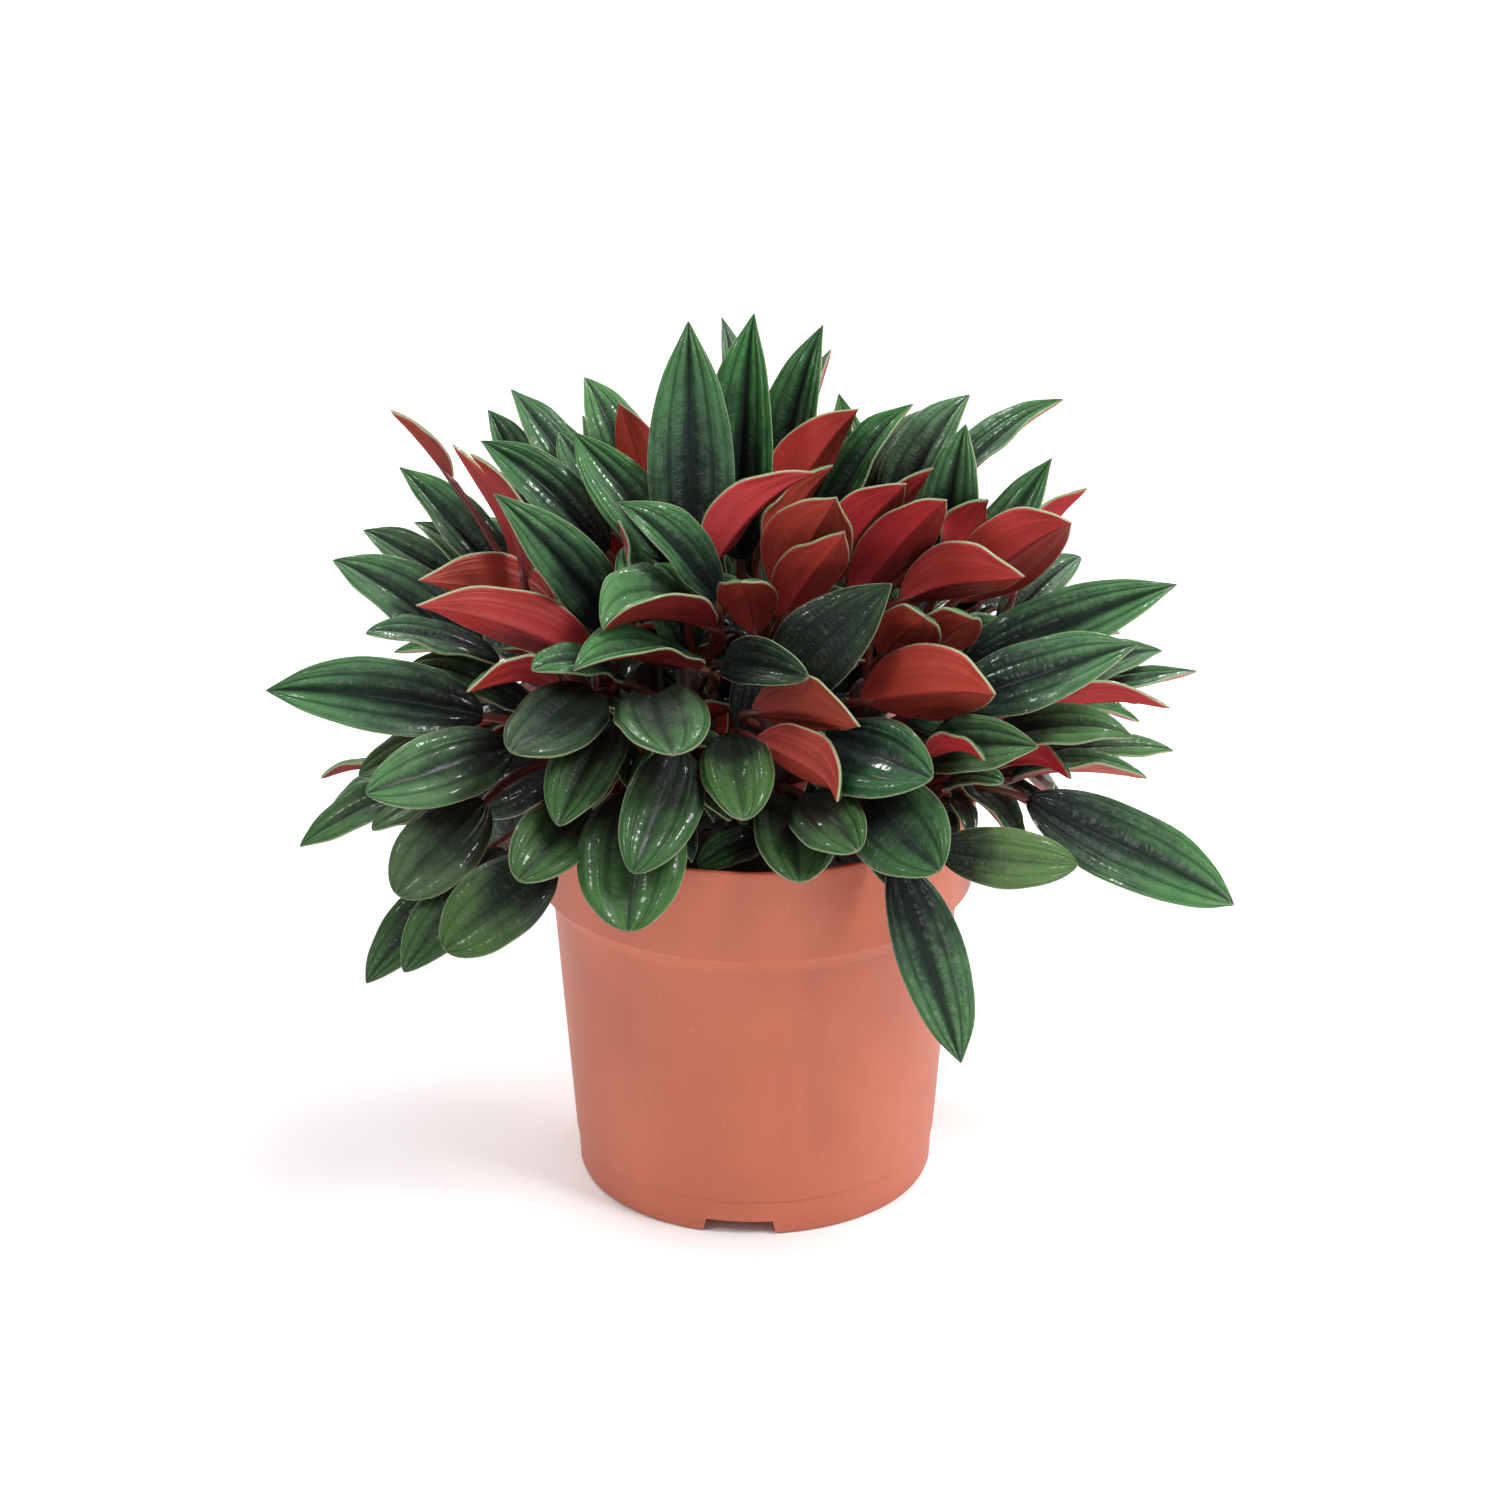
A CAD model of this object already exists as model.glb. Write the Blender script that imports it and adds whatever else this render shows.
"""A red-backed peperomia in a 12 cm plastic nursery pot, dressed over its solids and set on a pale floor."""

import math
from dataclasses import dataclass, field

import bpy
import numpy as np
from bpy.props import FloatProperty, FloatVectorProperty, IntProperty, PointerProperty
from mathutils import Matrix, Vector, noise


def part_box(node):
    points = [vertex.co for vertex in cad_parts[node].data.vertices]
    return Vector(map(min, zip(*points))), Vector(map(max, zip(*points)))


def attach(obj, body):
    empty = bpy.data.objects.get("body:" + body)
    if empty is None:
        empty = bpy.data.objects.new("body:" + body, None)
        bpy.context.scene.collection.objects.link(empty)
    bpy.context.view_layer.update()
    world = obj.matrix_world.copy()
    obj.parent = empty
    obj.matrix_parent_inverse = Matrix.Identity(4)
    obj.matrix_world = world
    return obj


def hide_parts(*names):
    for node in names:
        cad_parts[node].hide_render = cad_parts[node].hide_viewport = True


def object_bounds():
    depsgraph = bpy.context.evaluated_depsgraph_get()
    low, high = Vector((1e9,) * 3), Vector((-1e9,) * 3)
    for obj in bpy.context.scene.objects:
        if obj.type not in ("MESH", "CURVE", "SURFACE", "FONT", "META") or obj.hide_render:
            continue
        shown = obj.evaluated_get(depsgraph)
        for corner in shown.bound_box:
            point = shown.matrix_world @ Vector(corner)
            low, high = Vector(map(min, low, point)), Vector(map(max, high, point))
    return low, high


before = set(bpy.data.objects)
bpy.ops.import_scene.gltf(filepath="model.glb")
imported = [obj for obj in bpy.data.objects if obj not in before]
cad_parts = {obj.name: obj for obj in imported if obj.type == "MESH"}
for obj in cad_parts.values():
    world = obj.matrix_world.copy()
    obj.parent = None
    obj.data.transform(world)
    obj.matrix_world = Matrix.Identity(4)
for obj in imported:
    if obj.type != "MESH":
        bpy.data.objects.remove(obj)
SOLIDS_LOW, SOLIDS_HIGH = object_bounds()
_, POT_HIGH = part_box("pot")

bl_info = {
    "name": "Potted Peperomia",
    "version": (1, 0, 0),
    "blender": (4, 5, 0),
    "location": "View3D > Sidebar > Peperomia",
    "description": "Builds a red-backed peperomia in a nursery pot, leaf by leaf",
    "category": "Add Mesh",
}

MM = 0.001

# How the plant is sighted: leaf places are written as they are seen by an eye in front of the plant, in mm
# across and up in the plane square to the sight line through the plant's middle, with their true depth y.
EYE = np.array((0.0, -1000.0, 535.0))
SIGHT_CENTRE = np.array((0.0, 0.0, 121.6))
SIGHT_UP = np.array((0.0, 0.382, 0.9242))
SIGHT_FORWARD = np.cross(SIGHT_UP, (1.0, 0.0, 0.0))

# The camera at that eye: how far it looks down in degrees, its sensor in mm, and how far the frame is shifted
CAMERA_FALL = 22.46
SENSOR_WIDTH = 36
FRAME_SHIFT = -5 / 1500

# The floor's width in m, and the colour of the light all round
FLOOR_WIDTH = 8
SKY_COLOUR = (0.95, 0.97, 1.0, 1.0)

# Crowns, in mm: root is where the stem leaves the soil (x, y), hub is the stem's top (x, y, z).
# A leaf's row is: tip across, up, y; blade foot across, up, y; width; turn in degrees.
# A turn of 0 faces the viewer, 90 faces up and inward, and 180 shows the viewer the red underside.
CROWNS = {
    "crown_left": {
        "root": (-34, -2),
        "hub": (-42, -1, 136),
        "leaves": [
            (-98, 92, 10, -68, 51, 6, 12, 125),
            (-96, 76, 26, -65, 42, 14, 14, 20),
            (-92, 62, 20, -61, 36, 9, 14, 25),
            (-81, 83, -6, -65, 44, -2, 15, 105),
            (-76, 81, -14, -62, 45, -6, 15, 125),
            (-70, 69, -8, -39, 33, -6, 17, 10),
            (-114, 52, 20, -74, 24, 8, 19, 25),
            (-105, 31, -2, -69, 23, -4, 16, 65),
            (-91, 46, -20, -53, 36, -8, 16, 155),
            (-91, 38, -42, -42, 24, -18, 17, 150),
            (-132, 16, -18, -73, 9, -12, 21, 20),
            (-93, 22, -6, -61, 11, -6, 15, 45),
            (-78, 16, -44, -53, 16, -24, 13, 110),
            (-105, -12, -50, -66, 1, -26, 20, 15),
            (-107, -7, -14, -77, 3, -4, 14, 30),
            (-117, -8, 4, -85, -7, 2, 11, 80),
            (-114, -17, 14, -88, -8, 8, 12, 40),
            (-123, -26, -16, -86, -10, -10, 14, 45),
            (-97, -39, -54, -73, -14, -32, 21, 10),
            (-66, -1, -64, -43, 15, -28, 21, 25),
            (-103, -22, -30, -84, -15, -20, 10, 50),
            (-76, -16, -12, -50, -2, -8, 16, 20),
        ],
    },
    "crown_centre_left": {
        "root": (-14, 8),
        "hub": (-16, 8, 143),
        "leaves": [
            (-37, 94, 24, -26, 60, 20, 15, 160),
            (-74, 84, 18, -40, 53, 10, 15, 20),
            (-49, 86, 14, -20, 51, 8, 17, 10),
            (-37, 67, -14, -11, 40, -6, 15, 40),
            (-18, 116, 22, -16, 47, 8, 23, 0),
            (16, 76, 4, -13, 48, 2, 16, 130),
            (-60, 22, -48, -36, 19, -26, 15, 60),
            (-37, 62, -16, -36, 35, -10, 12, 75),
            (-35, 55, 4, -30, 34, 0, 13, 30),
            (-41, 33, -30, -12, 33, -8, 20, 68),
            (-49, 22, -44, -15, 22, -18, 18, 70),
            (-4, 46, -32, 0, 31, -4, 16, 165),
            (14, 20, -50, -8, 23, -22, 13, 20),
            (-27, 50, 0, -17, 27, 4, 16, 20),
        ],
    },
    "crown_front_left": {
        "root": (-22, -24),
        "hub": (-27, -27, 136),
        "leaves": [
            (-22, -2, -82, -27, 14, -36, 24, 5),
            (-53, -21, -68, -38, 7, -36, 18, 10),
            (-64, -35, -80, -45, -16, -48, 19, 5),
            (-33, -33, -82, -20, 0, -48, 20, 0),
            (-34, -49, -78, -31, -11, -48, 28, 0),
            (-105, -63, -42, -77, -32, -34, 15, 25),
            (-95, -60, -60, -67, -27, -46, 17, 15),
            (-84, -54, -76, -54, -30, -60, 21, 5),
        ],
    },
    "crown_right": {
        "root": (26, 4),
        "hub": (31, 2, 138),
        "leaves": [
            (57, 88, 14, 51, 50, 12, 16, 15),
            (83, 95, 18, 47, 62, 14, 15, 50),
            (80, 79, 16, 55, 38, 10, 15, 20),
            (63, 68, -4, 56, 48, 4, 13, 150),
            (86, 62, -22, 54, 40, -2, 21, 160),
            (90, 70, 4, 69, 40, 2, 12, 110),
            (57, 50, -16, 37, 44, 2, 13, 150),
            (73, 47, -34, 39, 40, -6, 17, 145),
            (46, 36, -40, 34, 25, -12, 17, 160),
            (59, 36, -44, 43, 23, -12, 17, 150),
            (65, 15, -58, 28, 13, -24, 22, 150),
            (114, 45, -8, 55, 21, -12, 19, 15),
            (103, 28, -32, 53, 13, -22, 19, 15),
        ],
    },
    "crown_front": {
        "root": (4, -22),
        "hub": (5, -26, 142),
        "leaves": [
            (37, 45, -32, 5, 14, -30, 22, 10),
            (-3, -19, -70, -6, 4, -38, 19, 0),
            (-15, -32, -50, 5, -24, -42, 12, 40),
            (28, 6, -66, -1, 10, -40, 16, 140),
            (23, -14, -74, 0, 3, -44, 15, 140),
            (48, -8, -68, 19, 4, -36, 24, 15),
            (50, -33, -82, 28, -11, -50, 25, 5),
            (28, -27, -78, 14, -13, -48, 18, 20),
            (12, -36, -78, 9, -13, -46, 21, 0),
            (4, 24, -12, -2, 4, -22, 15, 10),
        ],
    },
    "crown_centre": {
        "root": (7, 17),
        "hub": (7, 20, 143),
        "leaves": [
            (0, 118, 30, -4, 51, 18, 20, 5),
            (18, 115, 42, 6, 57, 30, 17, 25),
            (28, 93, 20, 3, 58, 16, 18, 150),
            (21, 77, 10, 6, 51, 12, 13, 105),
            (22, 68, -24, 9, 38, 2, 24, 170),
            (43, 93, 28, 16, 57, 20, 15, 45),
            (52, 68, -20, 26, 40, 0, 17, 155),
            (41, 73, -4, 18, 43, 8, 17, 155),
            (48, 77, 4, 31, 49, 10, 12, 140),
            (24, 58, -38, 7, 35, -8, 17, 155),
        ],
    },
    "crown_right_low": {
        "root": (39, -12),
        "hub": (45, -14, 130),
        "leaves": [
            (110, 27, 14, 74, 13, 4, 14, 30),
            (119, 20, 8, 72, 9, 0, 14, 50),
            (103, 12, -10, 80, 9, -8, 10, 80),
            (112, 11, -16, 62, 8, -10, 13, 110),
            (102, 4, -28, 62, 3, -18, 15, 45),
            (113, 0, 0, 74, -4, -4, 13, 50),
            (106, -7, -10, 69, -8, -10, 11, 60),
            (85, -8, -30, 67, -4, -20, 9, 125),
            (76, 1, -54, 47, -1, -28, 16, 15),
            (62, -3, -60, 46, -2, -40, 9, 110),
            (67, -9, -46, 51, -11, -34, 10, 60),
            (87, -31, -62, 49, -27, -58, 16, 5),
            (130, -42, -10, 73, -13, -20, 22, 10),
            (56, -85, -68, 37, -30, -66, 18, 10),
            (64, 6, -16, 40, 10, -12, 14, 20),
        ],
    },
    "crown_back_left": {
        "root": (-27, 27),
        "hub": (-31, 31, 137),
        "leaves": [
            (-72, 92, 46, -57, 57, 32, 13, 30),
            (-66, 97, 38, -42, 62, 26, 15, 20),
            (-53, 86, 34, -38, 62, 24, 12, 15),
            (-46, 101, 44, -26, 59, 30, 18, 15),
            (-106, 60, 34, -74, 40, 22, 13, 25),
            (-8, 21, 44, -28, 27, 36, 17, 10),
        ],
    },
    "crown_back_right": {
        "root": (28, 29),
        "hub": (32, 33, 137),
        "leaves": [
            (58, 96, 34, 36, 60, 26, 16, 20),
            (48, 93, 40, 28, 59, 30, 12, 30),
            (88, 52, 30, 66, 32, 18, 13, 25),
            (11, 19, 40, 31, 24, 36, 16, 10),
        ],
    },
    "crown_back": {
        "root": (0, 38),
        "hub": (0, 44, 136),
        "leaves": [
            (-9, 117, 50, -6, 76, 40, 9, 20),
            (21, 108, 52, 12, 59, 40, 13, 50),
        ],
    },
}

# The leaves that the front view hides: tiers on domes round the plant's middle. Each tier has its angle
# above the level, its reach from the middle, how many leaves it has room for and how many degrees it covers
# round the back. Lengths are in mm here and below, and a share is a part of 1.
DOME_MIDDLE = np.array((0.0, 0.0, 124.0))
TIERS = [
    {"rise": -18, "reach": 106, "count": 10, "spread": 190},
    {"rise": -2, "reach": 116, "count": 13, "spread": 200},
    {"rise": 14, "reach": 114, "count": 13, "spread": 200},
    {"rise": 30, "reach": 110, "count": 13, "spread": 200},
    {"rise": 46, "reach": 104, "count": 13, "spread": 200},
    {"rise": 62, "reach": 97, "count": 12, "spread": 240},
    {"rise": 78, "reach": 92, "count": 6, "spread": 360},
    {"rise": 12, "reach": 72, "count": 12, "spread": 360},
    {"rise": 35, "reach": 70, "count": 12, "spread": 360},
    {"rise": 62, "reach": 72, "count": 10, "spread": 360},
]
TIER_LEAF_LENGTH = 54
TIER_LEAF_WIDTH = 16.5
TIER_LEAF_SCATTER = 0.2
INNER_LENGTH_SHARE = 0.35
FULL_LENGTH_REACH = 180
LONGEST_BLADE_SHARE = 0.8
TIER_SEED = 17
GROWTH_TRIES = 40
HEADING_SCATTER = 14
RISE_SCATTER = 14
REACH_SCATTER = 12
SEEN_REACH = 104
ROOM_CELL = 2.2
ROOM_LOW = (-180, -150, 60)
ROOM_HIGH = (180, 200, 280)
BLADE_STARTS = 0.14

# Young leaves in the heart of each crown
HEART_LEAVES = 4
HEART_RISE = 38
HEART_RISE_SCATTER = 50
HEART_PETIOLE = 9
HEART_LENGTH = 26
HEART_LENGTH_SCATTER = 10
HEART_WIDTH_SHARE = 0.4

# Young leaves push out wherever the eye could still look into the plant's heart: an oval that the eye sees, in
# mm across and up, less the patch of bare soil behind the rim. Each pass goes over the oval in steps, and tries for
# a leaf wherever the eye sees deeper than it should.
GAP_SEED = 29
GAP_MIDDLE = (0.0, 14.0)
GAP_REACH = (84.0, 46.0)
GAP_NEAREST = -60.0
GAP_FURTHEST = 100.0
GAP_CELL = 1.3
GAP_GRAIN = 1.25
GAP_GRID = 1024
GAP_PASSES = [
    {"deeper": 22.0, "step": 2.5, "length": 24.0, "tries": 120},
    {"deeper": 120.0, "step": 1.25, "length": 9.0, "tries": 60},
]
GAP_LEAF_SCATTER = 18.0
GAP_DARKNESS = 0.6
GAP_LEAF_BREADTH = 0.42
GAP_BREADTH_LEAST = 0.8
GAP_BREADTH_SCATTER = 0.4
GAP_LONGEST_SHARE = 1.6
COVER_SHARE = 0.86
COVER_ROWS = 90
COVER_COLUMNS = 24
SOIL_SEEN_LEFT = -18.0
SOIL_SEEN_RIGHT = 9.0
SOIL_SEEN_TOP = -17.0

# Dark leaves behind the others where none grows by itself, in rows like the crowns'
BACKING = {
    "crown_left": [(-69.7, -31.9, 2, -58, -2.7, 0, 19, 10), (-83.7, 3.2, 16, -60.8, 12.2, 10, 14, 15)],
    "crown_back": [(-28.4, 18.9, 52, -5.4, 16.2, 48, 20, 10), (-20, 32.5, 56, 5, 27, 54, 18, 10)],
}

# How old the oldest leaves are, from 0 for young to 1, by their place in the crown's list. Old leaves are flat
# and olive green.
AGES = {
    "crown_left": {11: 0.2, 13: 0.25, 14: 0.7, 15: 0.6, 16: 0.5, 17: 0.5, 18: 0.9, 19: 0.5, 20: 0.6},
    "crown_centre_left": {9: 0.1, 10: 0.1, 12: 0.2},
    "crown_front_left": {0: 0.4, 1: 0.5, 2: 0.6, 3: 0.45, 4: 0.5, 5: 0.6, 6: 0.7, 7: 0.8},
    "crown_front": {0: 0.5, 1: 0.8, 2: 0.4, 3: 0.4, 6: 0.3, 7: 0.4, 8: 0.7},
    "crown_right_low": {4: 0.4, 5: 0.3, 8: 0.4, 11: 1.0, 12: 0.1, 13: 0.1},
}
HIDDEN_AGE = 0.15

# How far the dark of the foot has spread over a leaf, and how frosted it is, for each crown and for single leaves.
# A few blades have a shape of their own: where they start on their middle line, their width in mm, how full they
# are towards the tip and the base, how flat they are, how many times as folded as others, and their tint.
DARKNESS = {"crown_front": 0.6, "crown_front_left": 0.55}
USUAL_DARKNESS = 0.15
DARKEST = {
    "crown_front": {0: 1.15, 1: 0.4, 9: 1.05},
    "crown_front_left": {4: 0.3},
    "crown_left": {18: 0.6, 19: 1.0, 21: 0.8},
    "crown_centre_left": {12: 1.0},
    "crown_right_low": {11: -0.15},
}
SHAPES = {
    "crown_left": {0: {"start": 0.5, "width": 7}, 3: {"width": 9}, 4: {"width": 10}},
    "crown_centre_left": {
        9: {"flat": 0.1, "fold": 1.7},
        10: {"flat": 0.1, "fold": 1.6},
        12: {"tip": 0.55, "base": 0.6},
    },
    "crown_front": {
        0: {"tip": 0.95, "base": 0.7},
        3: {"tint": 0.9},
        4: {"tint": 0.9},
        5: {"tip": 0.7},
        6: {"tip": 0.65},
    },
    "crown_right": {10: {"tint": 0.9}},
    "crown_centre": {4: {"tint": 0.85}, 9: {"tint": 0.8}},
}
FROST = {
    "crown_back": 0.75,
    "crown_back_right": 0.65,
    "crown_back_left": 0.4,
    "crown_right": 0.3,
    "crown_right_low": 0.2,
    "crown_left": 0.25,
    "crown_centre_left": 0.15,
}

# Soil and pot in mm, petioles and blades. A fullness is the power by which a blade swells from that end.
SOIL_TOP = 104.0
SOIL_CROWN = 2.5
COLLAR_RADIUS = 60.0
POT_HEIGHT = 112.0
POT_CLEARANCE = 2.5
STEM_RADIUS = 4.0
LOWEST_PETIOLE = 0.45
PETIOLE_RISE = 0.7
PETIOLE_BEND = 0.45
PETIOLE_ARCH = 0.12
PETIOLE_SAG = 0.06
BASE_FULLNESS = 0.62
TIP_FULLNESS = 0.85
BLUNT_TIP_FULLNESS = 0.55
SLENDER = 0.36
BROAD = 0.5
CUP = 0.34
LEAF_BOW = 3.0
FRAME_STEP = 0.01

# Leaves that would touch are swung nearer or further until they clear. The eye sees them on a grid of cells.
SIGHT_GRID = 512
CONTACT_CELL = 2.5
CONTACT_CLEARANCE = 2.6
CONTACT_PASSES = 80
CONTACT_ROWS = 24
CONTACT_COLUMNS = 8
CONTACT_ROUNDS = 2
CONTACT_PUSH = 0.4
SMALL_SWING = 0.01
FIRST_PETIOLE_ROW = 3

# The multiplier and the prime of the random draws
DRAW_MULTIPLIER = 16807
DRAW_PRIME = 2147483647


def seeded(seed):
    """Draws from 0 to 1, the same each time."""
    state = seed

    def draw():
        nonlocal state
        state = (state * DRAW_MULTIPLIER) % DRAW_PRIME
        return state / DRAW_PRIME

    return draw


def unit(vectors):
    return vectors / np.linalg.norm(vectors, axis=-1, keepdims=True)


def square_to(vectors, axes):
    """What is left of vectors once their part along axes is taken away."""
    share = (vectors * axes).sum(-1, keepdims=True) / (axes * axes).sum(-1, keepdims=True)
    return vectors - axes * share


def sighted(across, up, depth):
    """The point that the eye sees at this place and that lies at this depth."""
    seen = SIGHT_CENTRE + SIGHT_UP * up
    seen[0] += across
    reach = (depth - EYE[1]) / (seen[1] - EYE[1])
    return (seen - EYE) * reach + EYE


def seen_places(points):
    """Across, up and depth of points, as the eye in front of the plant sees them."""
    rays = points - EYE
    reach = (SIGHT_CENTRE - EYE) @ SIGHT_FORWARD / (rays @ SIGHT_FORWARD)
    seen = rays * reach[..., None] + EYE - SIGHT_CENTRE
    return seen[..., 0], seen @ SIGHT_UP, points[..., 1]


@dataclass
class Leaf:
    """One leaf: its crown, the blade's tip and foot, its width and how far its face is turned from the eye.

    Its root on the stem and the way that its blade faces follow from these.
    """

    crown: str
    tip: np.ndarray
    foot: np.ndarray
    width: float
    turn: float | None
    age: float = 0.0
    darkness: float = USUAL_DARKNESS
    shape: dict = field(default_factory=dict)
    fills_gap: bool = False
    root: np.ndarray = field(default=None)
    normal: np.ndarray = field(default=None)

    def place(self):
        """Finds where the petiole leaves the stem and which way the blade faces."""
        crown = CROWNS[self.crown]
        low = np.array((*crown["root"], SOIL_TOP))
        top = np.array(crown["hub"], dtype=float)
        away = math.hypot(self.foot[0] - top[0], self.foot[1] - top[1])
        height = self.foot[2] - PETIOLE_RISE * away
        share = min(1.0, max(LOWEST_PETIOLE, (height - low[2]) / (top[2] - low[2])))
        self.root = low + (top - low) * share
        self.normal = self.facing()

    def facing(self):
        along = unit(self.tip - self.foot)
        if self.turn is None:
            return unit(square_to(np.array((0.0, 0.0, 1.0)), along))
        to_viewer = unit(square_to(EYE - (self.tip + self.foot) / 2, along))
        inward = np.cross(along, to_viewer)
        if self.tip[0] > self.foot[0]:
            inward = -inward
        turn = math.radians(self.turn)
        return to_viewer * math.cos(turn) + inward * math.sin(turn)

    def middle_line(self, shares):
        """Points on the middle line: 0 to 1 runs along the blade, -1 to 0 along the petiole."""
        shares = np.asarray(shares, dtype=float)[..., None]
        bowed = (self.foot + self.tip) / 2 + self.normal * (2 * LEAF_BOW)
        blade = curve(self.foot, bowed, self.tip, shares)
        reach = np.linalg.norm(self.foot - self.root)
        bend = self.foot - unit(bowed - self.foot) * (PETIOLE_BEND * reach)
        bend[2] += PETIOLE_ARCH * reach - PETIOLE_SAG * np.linalg.norm(self.tip - self.foot)
        return np.where(shares >= 0, blade, curve(self.root, bend, self.foot, 1 + shares))

    def frames(self, shares):
        """Centre, normal and side of the leaf at shares of its middle line."""
        before = self.middle_line(np.maximum(shares - FRAME_STEP, -1))
        after = self.middle_line(np.minimum(shares + FRAME_STEP, 1))
        along = unit(after - before)
        normal = unit(square_to(self.normal, along))
        return self.middle_line(shares), normal, np.cross(normal, along)

    def half_width(self, shares):
        """Half the blade's width: slender leaves are pointed, and broad old ones are blunt."""
        breadth = self.width / np.linalg.norm(self.foot - self.tip)
        old = min(1.0, max(0.0, (breadth - SLENDER) / (BROAD - SLENDER)))
        tip_fullness = TIP_FULLNESS + (BLUNT_TIP_FULLNESS - TIP_FULLNESS) * old
        peak = BASE_FULLNESS / (BASE_FULLNESS + tip_fullness)
        full = peak**BASE_FULLNESS * (1 - peak) ** tip_fullness
        inside = np.clip(shares, 0, 1)
        return (self.width / 2) * inside**BASE_FULLNESS * (1 - inside) ** tip_fullness / full

    def samples(self):
        """Points over the blade and along the petiole, with their shares."""
        rows = np.repeat(np.arange(1, CONTACT_ROWS) / CONTACT_ROWS, CONTACT_COLUMNS + 1)
        columns = np.tile(2 * np.arange(CONTACT_COLUMNS + 1) / CONTACT_COLUMNS - 1, CONTACT_ROWS - 1)
        centre, normal, side = self.frames(rows)
        half = self.half_width(rows)
        lift = CUP * columns**2 * half
        blade = centre + side * (columns * half)[:, None] + normal * lift[:, None]
        petiole = np.arange(FIRST_PETIOLE_ROW, CONTACT_ROWS + 1) / CONTACT_ROWS - 1
        return np.vstack((blade, self.middle_line(petiole))), np.concatenate((rows, petiole))


def curve(start, bend, end, shares):
    """Points on the arc from start to end that is drawn towards bend."""
    return start * (1 - shares) ** 2 + bend * (2 * shares * (1 - shares)) + end * shares**2


def stem_samples(crown):
    """Points over a stem, with -1 for the share of each, as at a petiole's root."""
    low = np.array((*CROWNS[crown]["root"], SOIL_TOP))
    top = np.array(CROWNS[crown]["hub"], dtype=float)
    points = []
    for row in range(CONTACT_ROWS + 1):
        for across in (-STEM_RADIUS, 0.0, STEM_RADIUS):
            point = low + (top - low) * (row / CONTACT_ROWS)
            point[0] += across
            points.append(point)
    return np.array(points), np.full(len(points), -1.0)


def grid_cells(across, up, cell, grid):
    """The number of the cell, on a square grid round the sight's centre, that holds each seen place."""
    column = np.floor(across / cell).astype(int) + grid // 2
    return column * grid + np.floor(up / cell).astype(int) + grid // 2


def sight_cells(across, up):
    return grid_cells(across, up, CONTACT_CELL, SIGHT_GRID)


def swing(share):
    """How far a point at this share goes when the blade foot and the tip go 1 mm further back."""
    return ((1 + share) ** 2, 0.0) if share < 0 else (1 - share, share)


@dataclass
class Body:
    """A leaf or a stem while leaves settle: its samples and how far its foot and its tip have moved."""

    crown: str
    samples: tuple
    leaf: Leaf | None = None
    shift: list = field(default_factory=lambda: [0.0, 0.0])

    def moved(self, weights):
        return self.shift[0] * weights[0] + self.shift[1] * weights[1]

    def push(self, weights, distance):
        size = weights[0] ** 2 + weights[1] ** 2
        if size > SMALL_SWING:
            self.shift[0] += distance * weights[0] / size
            self.shift[1] += distance * weights[1] / size


@dataclass
class Span:
    """The depths between which one body lies in one sight cell."""

    near: float = math.inf
    far: float = -math.inf
    near_swing: tuple = (0.0, 0.0)
    far_swing: tuple = (0.0, 0.0)
    on_blade: bool = True


def sight_spans(bodies):
    """For each sight cell, the span of each body that is seen in it."""
    cells = {}
    for index, body in enumerate(bodies):
        points, shares = body.samples
        across, up, depths = seen_places(points)
        for key, depth, share in zip(sight_cells(across, up).tolist(), depths.tolist(), shares.tolist()):
            span = cells.setdefault(key, {}).setdefault(index, Span())
            if depth < span.near:
                span.near, span.near_swing = depth, swing(share)
            if depth > span.far:
                span.far, span.far_swing = depth, swing(share)
            span.on_blade = span.on_blade and share > BLADE_STARTS
    return cells


def contact_pairs(bodies):
    """Pairs of bodies that share sight cells: the nearer, the further, and their spans in each cell."""
    pairs = {}
    for cell in sight_spans(bodies).values():
        spans = list(cell.items())
        for a, (first, span_a) in enumerate(spans):
            for second, span_b in spans[a + 1 :]:
                same_crown = bodies[first].crown == bodies[second].crown
                if same_crown and not (span_a.on_blade and span_b.on_blade):
                    continue
                pair = pairs.setdefault((first, second), {"spots": [], "lead": 0.0})
                pair["spots"].append((span_a, span_b))
                pair["lead"] += span_b.near + span_b.far - span_a.near - span_a.far
    ordered = []
    for (first, second), pair in pairs.items():
        if pair["lead"] >= 0:
            ordered.append((bodies[first], bodies[second], pair["spots"]))
        else:
            swapped = [(span_b, span_a) for span_a, span_b in pair["spots"]]
            ordered.append((bodies[second], bodies[first], swapped))
    return ordered


def part(front, back, spots):
    """Moves two bodies apart where they come closest."""
    least, spot = CONTACT_CLEARANCE, None
    for span_a, span_b in spots:
        gap = span_b.near + back.moved(span_b.near_swing) - span_a.far - front.moved(span_a.far_swing)
        if gap < least:
            least, spot = gap, (span_a.far_swing, span_b.near_swing)
    if spot:
        distance = CONTACT_PUSH * (CONTACT_CLEARANCE - least)
        front.push(spot[0], -distance)
        back.push(spot[1], distance)


def slid(point, depth):
    """The point moved along its sight line by a depth."""
    ray = point - EYE
    return ray * ((ray[1] + depth) / ray[1]) + EYE


def settle(leaves):
    """Slides the seen leaves along their sight lines until they clear each other."""
    stems = [Body(crown, stem_samples(crown)) for crown in CROWNS]
    for _ in range(CONTACT_ROUNDS):
        moving = [Body(leaf.crown, leaf.samples(), leaf) for leaf in leaves]
        for stem in stems:
            stem.shift = [0.0, 0.0]
        pairs = contact_pairs([*moving, *stems])
        for _ in range(CONTACT_PASSES):
            for front, back, spots in pairs:
                part(front, back, spots)
        for body in moving:
            body.leaf.foot = slid(body.leaf.foot, body.shift[0])
            body.leaf.tip = slid(body.leaf.tip, body.shift[1])
            body.leaf.place()


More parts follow.
